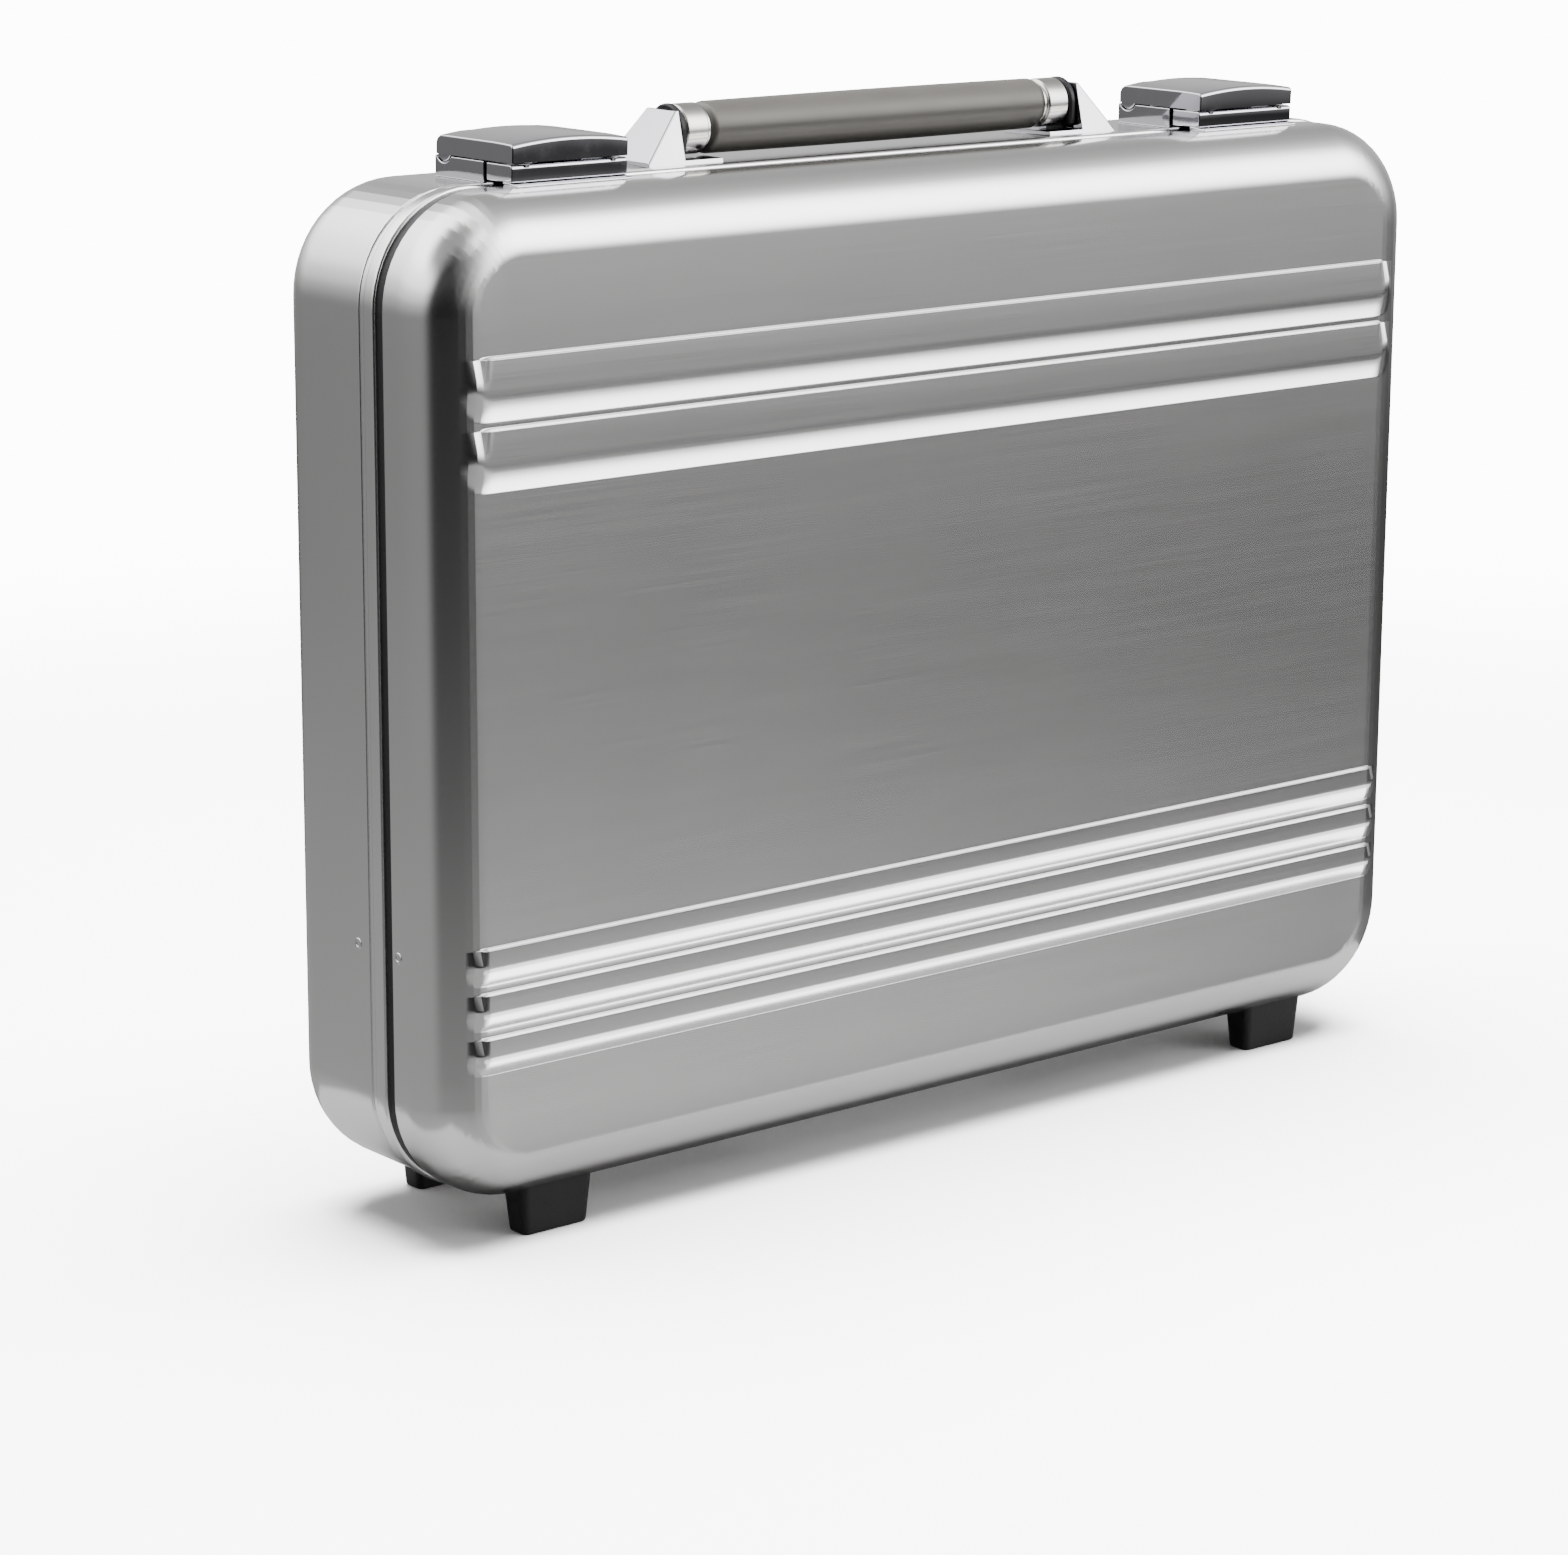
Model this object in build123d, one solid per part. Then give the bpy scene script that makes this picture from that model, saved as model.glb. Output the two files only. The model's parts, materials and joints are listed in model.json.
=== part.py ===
from build123d import *
import math
import os

# A hard aluminium attache case that stands on four rubber feet.
# Millimetres, +Z up, +X to the right, the shallow lid towards -Y and the deep base towards +Y.
# The origin is at the middle of the floor contact, under the centre of the bounding box.
# Everything is first placed from the middle of the case's bottom edge at the seam plane
# (y = 0 between lid and base), and moved up by the feet and back to the centre at export.

# Case, overall
case_width = 455.0
case_height = 340.0
lid_depth = 29.2
base_depth = 62.9
corner_radius = 38.0
edge_radius = 19.4
shell_wall = 1.5
seam_gap = 4.0
fit_gap = 0.4

# Pressed ribs on both broad faces
rib_rise = 1.8
rib_root = 1.6
rib_end_inset = 12.5
wide_rib_width = 21.6
wide_rib_crest = 12.0
wide_rib_top_drop = 61.3
wide_rib_pitch = 23.1
wide_rib_count = 2
narrow_rib_width = 13.4
narrow_rib_crest = 6.2
narrow_rib_bottom_rise = 55.8
narrow_rib_pitch = 15.4
narrow_rib_count = 3

# Frames, gasket and linings
frame_proud = 0.7
frame_flange = 1.5
bead_width = 6.0
groove_width = 3.0
groove_recess = 0.4
base_flange_depth = 9.0
lid_flange_margin = 0.2
tongue_wall = 1.4
tongue_reach = 3.5
gasket_recess = 0.7
gasket_preload_gap = 0.3
lining_wall = 3.0
lining_gap = 0.3
lining_start_gap = 0.8

# Feet
foot_width = 30.0
foot_depth = 13.0
foot_height = 15.0
foot_taper = 1.0
foot_corner = 2.6
foot_seat = 4.0
foot_side_inset = 55.0
lid_foot_y = -13.5
base_foot_y = 48.5
foot_screw_radius = 1.8
foot_screw_head_radius = 3.6
foot_screw_head_height = 2.0

# Hinges under the seam
hinge_axis_y = 5.75
hinge_axis_drop = 3.2
hinge_length = 66.0
foot_hinge_gap = 26.5
hinge_barrel_radius = 2.1
hinge_pin_radius = 1.0
pin_clearance = 0.15
hinge_plate_thickness = 1.6
hinge_web_thickness = 1.4
hinge_base_leaf_end = 20.0
hinge_lid_leaf_end = 8.8
hinge_knuckle_gap = 0.3
hinge_rivet_radius = 1.5
hinge_rivet_head_radius = 2.4
hinge_rivet_head_height = 0.4
bend_overlap = 0.3

# Lid stays: two equal arms a side, a rhombus with the hinge axis
stay_pivot_height = 88.0
stay_pivot_offset = 11.75
stay_arm_width = 8.0
stay_arm_thickness = 1.2
stay_side_gap = 0.4
stay_rivet_radius = 1.25
stay_rivet_head_radius = 2.0
stay_rivet_head_height = 0.5
stay_rivet_cap = 1.0
stay_rivet_gap = 0.2
knee_pin_head_end = 1.2
knee_hole_clearance = 0.3

# Latches
latch_corner_gap = 10.3
latch_width = 47.4
latch_front_y = -8.0
latch_body_front_y = 8.4
latch_rear_y = 36.0
latch_body_height = 7.2
latch_split_gap = 0.4
latch_height = 15.7
latch_crown = 1.7
latch_edge_drop = 1.6
latch_axis_y = 31.0
latch_axis_height = 9.6
latch_barrel_radius = 4.4
latch_wall = 1.5
latch_roof = 1.7
latch_ear_inset = 6.4
latch_ear_thickness = 3.0
latch_ear_radius = 2.4
latch_pin_radius = 1.0
catch_front_y = -7.4
catch_rear_y = 6.8
catch_height = 7.0
hook_width = 18.0
hook_thickness = 2.6
hook_tip_height = 3.0
hook_slot_gap = 1.4
hook_slot_floor_gap = 0.8
hook_plate_end_y = 12.0
hook_plate_thickness = 1.2
latch_pin_end_gap = 0.4
lever_hollow_end = 6.0
lever_rear_room = 7.0
spring_radius = 2.2
spring_length = 10.0
spring_wire = 1.0
body_rivet_inset = 8.0
catch_rivet_inset = 6.0
rivet_radius = 1.6
rivet_hole_depth = 6.0
rivet_head_radius = 2.8
rivet_head_height = 1.0

# Handle
handle_axis_y = 24.6
handle_axis_height = 11.0
handle_lift = 26.0
grip_radius = 9.3
grip_end_radius = 2.2
ferrule_radius = 8.8
ferrule_length = 11.2
latch_handle_gap = 24.1
core_radius = 4.0
link_thickness = 2.8
link_head_radius = 9.0
link_shoulder_width = 18.0
link_shoulder_height = 2.4
tongue_width = 9.0
tongue_thickness = 2.2
stop_width = 13.0
stop_height = 3.0
bracket_depth = 25.0
bracket_apex_depth = 16.4
bracket_apex_height = 18.1
bracket_apex_width = 1.6
bracket_slope_run = 14.2
bracket_plate = 1.6
bracket_toe = 16.2
bracket_rivet_end_gap = 3.0
bracket_rivet_side_gap = 5.0
backing_plate = 2.0
guide_wall = 1.6
link_screw_radius = 1.6
link_screw_head_radius = 3.2
link_screw_head_depth = 1.4
link_screw_length = 9.0

# Document pocket on the lid lining
pocket_side_margin = 62.5
pocket_top_margin = 110.0
pocket_thickness = 6.0
pocket_bottom_rise = 40.0
pocket_corner = 14.0

# Places that follow from the sizes above
half_width = case_width / 2
seam_half = seam_gap / 2
base_edge_y = seam_half
lid_edge_y = -seam_half
bead_end_y = base_edge_y + bead_width
shell_edge_y = bead_end_y + groove_width
flange_inner = shell_wall + frame_flange
tongue_outer = flange_inner + fit_gap
tongue_inner = tongue_outer + tongue_wall
base_flange_end_y = shell_edge_y + base_flange_depth
lid_flange_end_y = -lid_depth + edge_radius + lid_flange_margin
base_pivot_y = hinge_axis_y + stay_pivot_offset
lid_pivot_y = hinge_axis_y - stay_pivot_offset
knee_height = 2 * stay_pivot_height + hinge_axis_drop
latch_x = half_width - corner_radius - latch_corner_gap - latch_width / 2
foot_x = half_width - foot_side_inset
hinge_x = foot_x - foot_width / 2 - foot_hinge_gap - hinge_length / 2
bracket_outer_x = latch_x - latch_width / 2 - latch_handle_gap
bracket_inner_x = bracket_outer_x - bracket_slope_run - bracket_apex_width
link_outer_x = bracket_inner_x - fit_gap
link_inner_x = link_outer_x - link_thickness
grip_half_length = link_inner_x - ferrule_length
total_depth = lid_depth + base_depth + 2 * rib_rise
seam_offset_y = lid_depth + rib_rise - total_depth / 2
SIDES = {"left": -1, "right": 1}

nodes = {}


def add(name, shape):
    """Keep one finished piece under its node name."""
    nodes[name] = shape


def block(x0, x1, y0, y1, z0, z1):
    """A box between two corners."""
    size = (x1 - x0, y1 - y0, z1 - z0)
    centre = ((x0 + x1) / 2, (y0 + y1) / 2, (z0 + z1) / 2)
    return Pos(*centre) * Box(*size)


def rod_x(radius, x0, x1, y, z):
    """A round rod along X."""
    return Pos((x0 + x1) / 2, y, z) * Rot(0, 90, 0) * Cylinder(radius, abs(x1 - x0))


def rod_z(radius, x, y, z0, z1):
    """A round rod along Z."""
    return Pos(x, y, (z0 + z1) / 2) * Cylinder(radius, z1 - z0)


def along_y(sketch, y0, y1):
    """A sketch in X and Z, drawn about the case's middle, run from y0 to y1."""
    return Pos(0, y1, case_height / 2) * extrude(Plane.XZ * sketch, amount=y1 - y0)


def outline(inset):
    """The case's front outline, moved inwards by an inset."""
    width = case_width - 2 * inset
    height = case_height - 2 * inset
    return RectangleRounded(width, height, corner_radius - inset)


def ring(outer_inset, inner_inset, y0, y1):
    """A closed band round the case between two insets."""
    return along_y(outline(outer_inset) - outline(inner_inset), y0, y1)


def tray_block(inset, face_y, facing):
    """A solid tray shape from the seam plane: straight at the seam, rounded at the broad face."""
    body = along_y(outline(inset), min(0, face_y), max(0, face_y))
    rim = body.faces().sort_by(Axis.Y)[-1 if facing > 0 else 0].edges()
    return fillet(rim, edge_radius - inset)


def tray(outer_inset, wall, open_y, face_y, facing):
    """An open tray with an even wall. facing is +1 for the base and -1 for the lid."""
    outer = tray_block(outer_inset, face_y, facing)
    inner = tray_block(outer_inset + wall, face_y - facing * wall, facing)
    far = case_width + case_height
    cut = block(-far, far, min(0, open_y), max(0, open_y), -far, far)
    return outer - inner - cut


def rib_rows():
    """Height, width and crest width of every rib."""
    rows = []
    for i in range(wide_rib_count):
        height = case_height - wide_rib_top_drop - i * wide_rib_pitch
        rows.append((height, wide_rib_width, wide_rib_crest))
    for i in range(narrow_rib_count):
        height = narrow_rib_bottom_rise + i * narrow_rib_pitch
        rows.append((height, narrow_rib_width, narrow_rib_crest))
    return rows


def ribs(face_y, facing, shrink, lower):
    """All ribs of one broad face as solids. shrink narrows them, lower sinks them for the inside."""
    rows = []
    length = case_width - 2 * rib_end_inset - 2 * shrink
    root_y = face_y - facing * (rib_root + lower)
    foot_y = face_y - facing * lower
    crest_y = face_y + facing * (rib_rise - lower)
    for height, width, crest in rib_rows():
        base_width = width - 2 * shrink
        crest_width = crest - shrink
        slope = (base_width - crest_width) / 2
        wide = RectangleRounded(length, base_width, base_width * 0.45)
        narrow = RectangleRounded(length - 2 * slope, crest_width, crest_width * 0.45)
        up = Pos(0, height - case_height / 2)
        root = along_y(up * wide, min(root_y, foot_y), max(root_y, foot_y))
        low = Pos(0, foot_y, case_height / 2) * (Plane.XZ * (up * wide))
        high = Pos(0, crest_y, case_height / 2) * (Plane.XZ * (up * narrow))
        rows.append(root + loft([low.face(), high.face()]))
    return rows


def shell(open_y, face_y, facing):
    """A drawn shell half with its pressed ribs, hollow behind them."""
    body = tray(0, shell_wall, open_y, face_y, facing)
    for rib in ribs(face_y, facing, 0, 0):
        body += rib
    for hollow in ribs(face_y, facing, shell_wall, shell_wall):
        body -= hollow
    return body


def foot(side, y, facing):
    """A tapered rubber foot, shaped to the case's rounded edge, with a recess for its screw."""
    x = side * foot_x
    height = foot_height
    top_outline = RectangleRounded(foot_width, foot_depth, foot_corner)
    low_outline = RectangleRounded(foot_width - 2 * foot_taper, foot_depth - 2 * foot_taper, foot_corner)
    top = Pos(x, y, 0) * top_outline
    low = Pos(x, y, -height) * low_outline
    body = loft([low.face(), top.face()])
    body += Pos(x, y, 0) * extrude(top_outline, amount=foot_seat)
    face_y = base_depth if facing > 0 else -lid_depth
    body -= tray_block(0, face_y, facing)
    recess_top = -height / 2
    body -= rod_z(foot_screw_head_radius + fit_gap / 2, x, y, -height, recess_top)
    body -= rod_z(foot_screw_radius, x, y, recess_top, foot_seat)
    return body


def foot_screw(side, y):
    """A pan head screw from a foot's recess through the shell into its frame."""
    x = side * foot_x
    seat = -foot_height / 2
    head = rod_z(foot_screw_head_radius, x, y, seat - foot_screw_head_height, seat)
    return head + rod_z(foot_screw_radius, x, y, seat, flange_inner)


def screw_clearance(side, y):
    """The room that a lining leaves over the end of a foot screw."""
    return rod_z(foot_screw_radius + fit_gap, side * foot_x, y, 0, flange_inner + fit_gap)


def mirrored_x(x0, x1, side):
    """The two ends of a stretch at a distance from the middle, in rising order."""
    return min(side * x0, side * x1), max(side * x0, side * x1)


# ---------------------------------------------------------------- case shells and frames


def make_shells():
    """Base and lid shells, with holes for the rivets, the screws and the handle tongues."""
    base = shell(shell_edge_y, base_depth, 1)
    lid = shell(lid_edge_y, -lid_depth, -1)
    for side in SIDES.values():
        x0, x1 = mirrored_x(half_width - flange_inner, half_width + 1, side)
        base -= rod_x(stay_rivet_radius, x0, x1, base_pivot_y, stay_pivot_height)
        lid -= rod_x(stay_rivet_radius, x0, x1, lid_pivot_y, stay_pivot_height)
        base -= rod_z(foot_screw_radius, side * foot_x, base_foot_y, -1, flange_inner)
        lid -= rod_z(foot_screw_radius, side * foot_x, lid_foot_y, -1, flange_inner)
        base -= tongue_slot(side)
        for x, y in latch_body_rivet_places(side):
            base -= rod_z(rivet_radius, x, y, case_height - flange_inner, case_height + 1)
        for x, y in bracket_rivet_places(side):
            base -= rod_z(rivet_radius, x, y, case_height - rivet_hole_depth, case_height + 1)
        for x, y in catch_rivet_places(side):
            lid -= rod_z(rivet_radius, x, y, case_height - flange_inner, case_height + 1)
        for x, y in hinge_rivet_places(side, 1):
            base -= rod_z(hinge_rivet_radius, x, y, -1, flange_inner)
        for x, y in hinge_rivet_places(side, -1):
            lid -= rod_z(hinge_rivet_radius, x, y, -1, flange_inner)
    add("base_shell", base)
    add("lid_shell", lid)


def make_frames():
    """The base frame with its bead and groove, the lid frame with its tongue, and the gasket."""
    base = ring(-frame_proud, flange_inner, base_edge_y, bead_end_y)
    base += ring(groove_recess, flange_inner, bead_end_y, shell_edge_y)
    base += ring(shell_wall, flange_inner, shell_edge_y, base_flange_end_y)
    lid = ring(shell_wall, tongue_inner, lid_flange_end_y, lid_edge_y)
    tongue = ring(tongue_outer, tongue_inner, lid_edge_y, lid_edge_y + tongue_reach)
    low_part = block(-case_width, case_width, -case_height, case_height, -1, corner_radius)
    lid += tongue - low_part
    for side in SIDES.values():
        x0, x1 = mirrored_x(half_width - tongue_inner - 1, half_width + 1, side)
        base -= rod_x(stay_rivet_radius, x0, x1, base_pivot_y, stay_pivot_height)
        lid -= rod_x(stay_rivet_radius, x0, x1, lid_pivot_y, stay_pivot_height)
        base -= tongue_slot(side)
        for x, y in latch_body_rivet_places(side):
            base -= rod_z(rivet_radius, x, y, case_height - rivet_hole_depth, case_height + 1)
        for x, y in bracket_rivet_places(side):
            base -= rod_z(rivet_radius, x, y, case_height - rivet_hole_depth, case_height + 1)
        for x, y in catch_rivet_places(side):
            lid -= rod_z(rivet_radius, x, y, case_height - rivet_hole_depth, case_height + 1)
        for x, y in hinge_rivet_places(side, 1):
            base -= rod_z(hinge_rivet_radius, x, y, -1, tongue_inner + 1)
        for x, y in hinge_rivet_places(side, -1):
            lid -= rod_z(hinge_rivet_radius, x, y, -1, tongue_inner + 1)
        lid -= rod_z(foot_screw_radius, side * foot_x, lid_foot_y, -1, tongue_inner + 1)
    add("base_frame", base)
    add("lid_frame", lid)
    front_y = lid_edge_y + gasket_preload_gap
    add("seam_gasket", ring(gasket_recess, flange_inner, front_y, base_edge_y))


def make_linings():
    """Soft linings, clear of the shells, and cut away round the handle guides."""
    inset = shell_wall + lining_gap
    start = max(base_flange_end_y, base_pivot_y + stay_arm_width / 2) + lining_start_gap
    base_face = base_depth - shell_wall - lining_gap
    base = tray(inset, lining_wall, start, base_face, 1)
    for side in SIDES.values():
        base -= guide_clearance(side)
        base -= screw_clearance(side, base_foot_y)
    base -= plate_clearance()
    add("base_lining", base)
    lid_face = -lid_depth + shell_wall + lining_gap
    lid_start = min(lid_flange_end_y, lid_pivot_y - stay_arm_width / 2) - lining_start_gap
    lid = tray(inset, lining_wall, lid_start, lid_face, -1)
    for side in SIDES.values():
        lid -= screw_clearance(side, lid_foot_y)
    add("lid_lining", lid)
    front = lid_face + lining_wall + lining_gap
    pocket_width = case_width - 2 * pocket_side_margin
    pocket_height = case_height - pocket_bottom_rise - pocket_top_margin
    middle = pocket_bottom_rise + pocket_height / 2 - case_height / 2
    sheet = Pos(0, middle) * RectangleRounded(pocket_width, pocket_height, pocket_corner)
    add("document_pocket", along_y(sheet, front, front + pocket_thickness))


def make_feet():
    """Four feet and their screws: one pair under the base and one under the lid."""
    for owner, y, facing in (("base", base_foot_y, 1), ("lid", lid_foot_y, -1)):
        screws = []
        for name, side in SIDES.items():
            add(f"{owner}_foot_{name}", foot(side, y, facing))
            screws.append(foot_screw(side, y))
        add(f"{owner}_foot_screws", Compound(children=screws))


# ---------------------------------------------------------------- hinges and stays


def hinge_rivet_places(side, facing):
    """Two rivets through a hinge leaf. facing is +1 for the base leaf and -1 for the lid leaf."""
    far = hinge_base_leaf_end if facing > 0 else -hinge_lid_leaf_end
    near = bead_end_y if facing > 0 else lid_edge_y
    y = (near + far) / 2
    reach = hinge_length / 3
    return [(side * hinge_x - reach, y), (side * hinge_x + reach, y)]


def make_hinges():
    """A pair of three-knuckle hinges: the outer knuckles on the base, the middle one on the lid."""
    z = -hinge_axis_drop
    plate_low = -hinge_plate_thickness
    web_top = plate_low + bend_overlap
    web_low = web_top - hinge_web_thickness
    third = hinge_length / 3
    rivets = {1: [], -1: []}
    for name, side in SIDES.items():
        x0 = side * hinge_x - hinge_length / 2
        x1 = x0 + hinge_length
        base = block(x0, x1, bead_end_y + fit_gap, hinge_base_leaf_end, plate_low, 0)
        spans = [(x0, x0 + third), (x1 - third, x1)]
        for a, b in spans:
            base += block(a, b, hinge_axis_y, bead_end_y + fit_gap + hinge_web_thickness, web_low, web_top)
            base += rod_x(hinge_barrel_radius, a, b, hinge_axis_y, z)
        base -= rod_x(hinge_pin_radius, x0 - 1, x1 + 1, hinge_axis_y, z)
        lid = block(x0, x1, -hinge_lid_leaf_end, lid_edge_y - fit_gap, plate_low, 0)
        a = x0 + third + hinge_knuckle_gap
        b = x1 - third - hinge_knuckle_gap
        lid += block(a, b, lid_edge_y - fit_gap - hinge_web_thickness, hinge_axis_y, web_low, web_top)
        lid += rod_x(hinge_barrel_radius, a, b, hinge_axis_y, z)
        lid -= rod_x(hinge_pin_radius + pin_clearance, x0, x1, hinge_axis_y, z)
        for facing in (1, -1):
            for x, y in hinge_rivet_places(side, facing):
                head_low = plate_low - hinge_rivet_head_height
                rivet = rod_z(hinge_rivet_radius, x, y, plate_low, flange_inner)
                rivet += rod_z(hinge_rivet_head_radius, x, y, head_low, plate_low)
                rivets[facing].append(rivet)
        for facing in (1, -1):
            for x, y in hinge_rivet_places(side, facing):
                hole = rod_z(hinge_rivet_radius, x, y, web_low - 1, 1)
                if facing > 0:
                    base -= hole
                else:
                    lid -= hole
        add(f"hinge_base_leaf_{name}", base)
        add(f"hinge_lid_leaf_{name}", lid)
        add(f"hinge_pin_{name}", rod_x(hinge_pin_radius, x0, x1, hinge_axis_y, z))
    add("hinge_base_rivets", Compound(children=rivets[1]))
    add("hinge_lid_rivets", Compound(children=rivets[-1]))


def stay_arm(x0, x1, start_y, end_y, end_z, end_hole):
    """A flat arm from a pivot on the shell's side to the knee."""
    rise = end_z - stay_pivot_height
    length = math.hypot(end_y - start_y, rise)
    lean = math.degrees(math.atan2(start_y - end_y, rise))
    flat = SlotCenterToCenter(length, stay_arm_width)
    flat -= Pos(-length / 2, 0) * Circle(stay_rivet_radius + pin_clearance)
    flat -= Pos(length / 2, 0) * Circle(end_hole)
    bar = Rot(0, -90, 0) * extrude(flat, amount=(x1 - x0) / 2, both=True)
    upright = Rot(lean, 0, 0) * bar
    middle_y = (start_y + end_y) / 2
    middle_z = (stay_pivot_height + end_z) / 2
    return Pos((x0 + x1) / 2, middle_y, middle_z) * upright


def stay_rivet(side, y, inner_reach):
    """A rivet with a low head on the outside, through the wall, the frame and its arm."""
    head0, head1 = mirrored_x(half_width, half_width + stay_rivet_head_height, side)
    shank0, shank1 = mirrored_x(half_width - inner_reach, half_width, side)
    cap0, cap1 = mirrored_x(half_width - inner_reach - stay_rivet_cap, half_width - inner_reach, side)
    body = rod_x(stay_rivet_radius, shank0, shank1, y, stay_pivot_height)
    body += rod_x(stay_rivet_head_radius, head0, head1, y, stay_pivot_height)
    body += rod_x(stay_rivet_head_radius, cap0, cap1, y, stay_pivot_height)
    return body


def make_stays():
    """Both lid stays: base arm, lid arm, knee pin and the two rivets that carry them."""
    outer_near = tongue_inner + stay_side_gap
    outer_far = outer_near + stay_arm_thickness
    inner_near = outer_far + stay_side_gap
    inner_far = inner_near + stay_arm_thickness
    for name, side in SIDES.items():
        b0, b1 = mirrored_x(half_width - outer_far, half_width - outer_near, side)
        l0, l1 = mirrored_x(half_width - inner_far, half_width - inner_near, side)
        pin_end = half_width - inner_far - knee_pin_head_end
        k0, k1 = mirrored_x(pin_end, half_width - outer_near, side)
        arm = stay_arm(b0, b1, base_pivot_y, hinge_axis_y, knee_height, stay_rivet_radius)
        add(f"stay_base_arm_{name}", arm)
        loose = stay_rivet_radius + knee_hole_clearance
        arm = stay_arm(l0, l1, lid_pivot_y, hinge_axis_y, knee_height, loose)
        add(f"stay_lid_arm_{name}", arm)
        pin = rod_x(stay_rivet_radius, k0, k1, hinge_axis_y, knee_height)
        h0, h1 = mirrored_x(pin_end, half_width - inner_far - stay_side_gap, side)
        pin += rod_x(stay_rivet_head_radius, h0, h1, hinge_axis_y, knee_height)
        add(f"stay_knee_pin_{name}", pin)
        add(f"stay_base_rivet_{name}", stay_rivet(side, base_pivot_y, outer_far + stay_rivet_gap))
        add(f"stay_lid_rivet_{name}", stay_rivet(side, lid_pivot_y, inner_far + stay_rivet_gap))


# ---------------------------------------------------------------- latches


def latch_body_rivet_places(side):
    """Two rivets that hold a latch body down to the base shell."""
    y = (latch_body_front_y + latch_axis_y - latch_barrel_radius) / 2
    reach = latch_width / 2 - body_rivet_inset
    return [(side * latch_x - reach, y), (side * latch_x + reach, y)]


def catch_rivet_places(side):
    """Two rivets that hold a catch down to the lid's top."""
    y = (catch_front_y + lid_edge_y) / 2
    reach = latch_width / 2 - catch_rivet_inset
    return [(side * latch_x - reach, y), (side * latch_x + reach, y)]


def flush_rivet(x, y, head_top, thickness):
    """A rivet with its head sunk in the piece that it holds, and its tail under the wall."""
    tail = case_height - thickness
    body = rod_z(rivet_radius, x, y, tail, head_top)
    body += rod_z(rivet_head_radius, x, y, head_top - rivet_head_height, head_top)
    return body


def rivet_hole(x, y, head_top):
    """The stepped hole for a sunk rivet head."""
    hole = rod_z(rivet_radius, x, y, case_height - 1, head_top)
    return hole + rod_z(rivet_head_radius, x, y, head_top - rivet_head_height, head_top + 1)


def latch_body(side):
    """The fixed latch body: a block with a trough for the lever's barrel and two pin ears."""
    x = side * latch_x
    half = latch_width / 2
    top = case_height + latch_body_height
    axis_z = case_height + latch_axis_height
    body = block(x - half, x + half, latch_body_front_y, latch_rear_y, case_height, top)
    trough = latch_barrel_radius + fit_gap
    body -= rod_x(trough, x - half - 1, x + half + 1, latch_axis_y, axis_z)
    for sign in (-1, 1):
        x0, x1 = ear_span(x, sign)
        y0 = latch_axis_y - latch_ear_radius
        y1 = latch_axis_y + latch_ear_radius
        body += block(x0, x1, y0, y1, top - trough, axis_z)
        body += rod_x(latch_ear_radius, x0, x1, latch_axis_y, axis_z)
    body -= rod_x(latch_pin_radius, x - half, x + half, latch_axis_y, axis_z)
    for rx, ry in latch_body_rivet_places(side):
        body -= rivet_hole(rx, ry, top)
    return body


def ear_span(x, sign):
    """The ends of one ear along X."""
    outer = latch_width / 2 - latch_ear_inset
    inner = outer - latch_ear_thickness
    return min(x + sign * inner, x + sign * outer), max(x + sign * inner, x + sign * outer)


def latch_crown_space(x, top):
    """A wide cylinder along Y whose top is the lever's crown."""
    half = latch_width / 2
    radius = (half ** 2 + latch_crown ** 2) / (2 * latch_crown)
    length = latch_rear_y - latch_front_y
    middle_y = (latch_rear_y + latch_front_y) / 2
    return Pos(x, middle_y, top - radius) * Rot(90, 0, 0) * Cylinder(radius, length)


def latch_lever(side):
    """The crowned cover lever: hollow below, with a barrel at each rear corner for the pin."""
    x = side * latch_x
    half = latch_width / 2
    low = case_height + latch_body_height + latch_split_gap
    top = case_height + latch_height
    axis_z = case_height + latch_axis_height
    body = block(x - half, x + half, latch_front_y, latch_axis_y, low, top)
    body += rod_x(latch_barrel_radius, x - half, x + half, latch_axis_y, axis_z)
    chamfer_edges = body.edges().filter_by(Axis.X).group_by(Axis.Y)[0].sort_by(Axis.Z)[-1:]
    body = chamfer(chamfer_edges, latch_edge_drop)
    body &= latch_crown_space(x, top)
    roof = top - latch_crown - latch_roof
    front = latch_front_y + latch_wall
    wall_x = half - latch_wall
    hollow_end = latch_axis_y - lever_hollow_end
    body -= block(x - wall_x, x + wall_x, front, hollow_end, low - 1, roof)
    room = half - latch_ear_inset + fit_gap
    rear = latch_axis_y + latch_barrel_radius + 1
    under = axis_z - latch_barrel_radius - 1
    body -= block(x - room, x + room, latch_axis_y - lever_rear_room, rear, under, roof)
    hole = latch_pin_radius + pin_clearance
    body -= rod_x(hole, x - half - 1, x + half + 1, latch_axis_y, axis_z)
    return body


def latch_hook(side):
    """The claw under the lever that drops into the catch."""
    x = side * latch_x
    half = hook_width / 2
    roof = case_height + latch_height - latch_crown - latch_roof
    tip = case_height + hook_tip_height
    front = -hook_thickness / 2
    claw = block(x - half, x + half, front, -front, tip, roof)
    plate_low = roof - hook_plate_thickness
    return claw + block(x - half, x + half, front, hook_plate_end_y, plate_low, roof)


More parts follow.
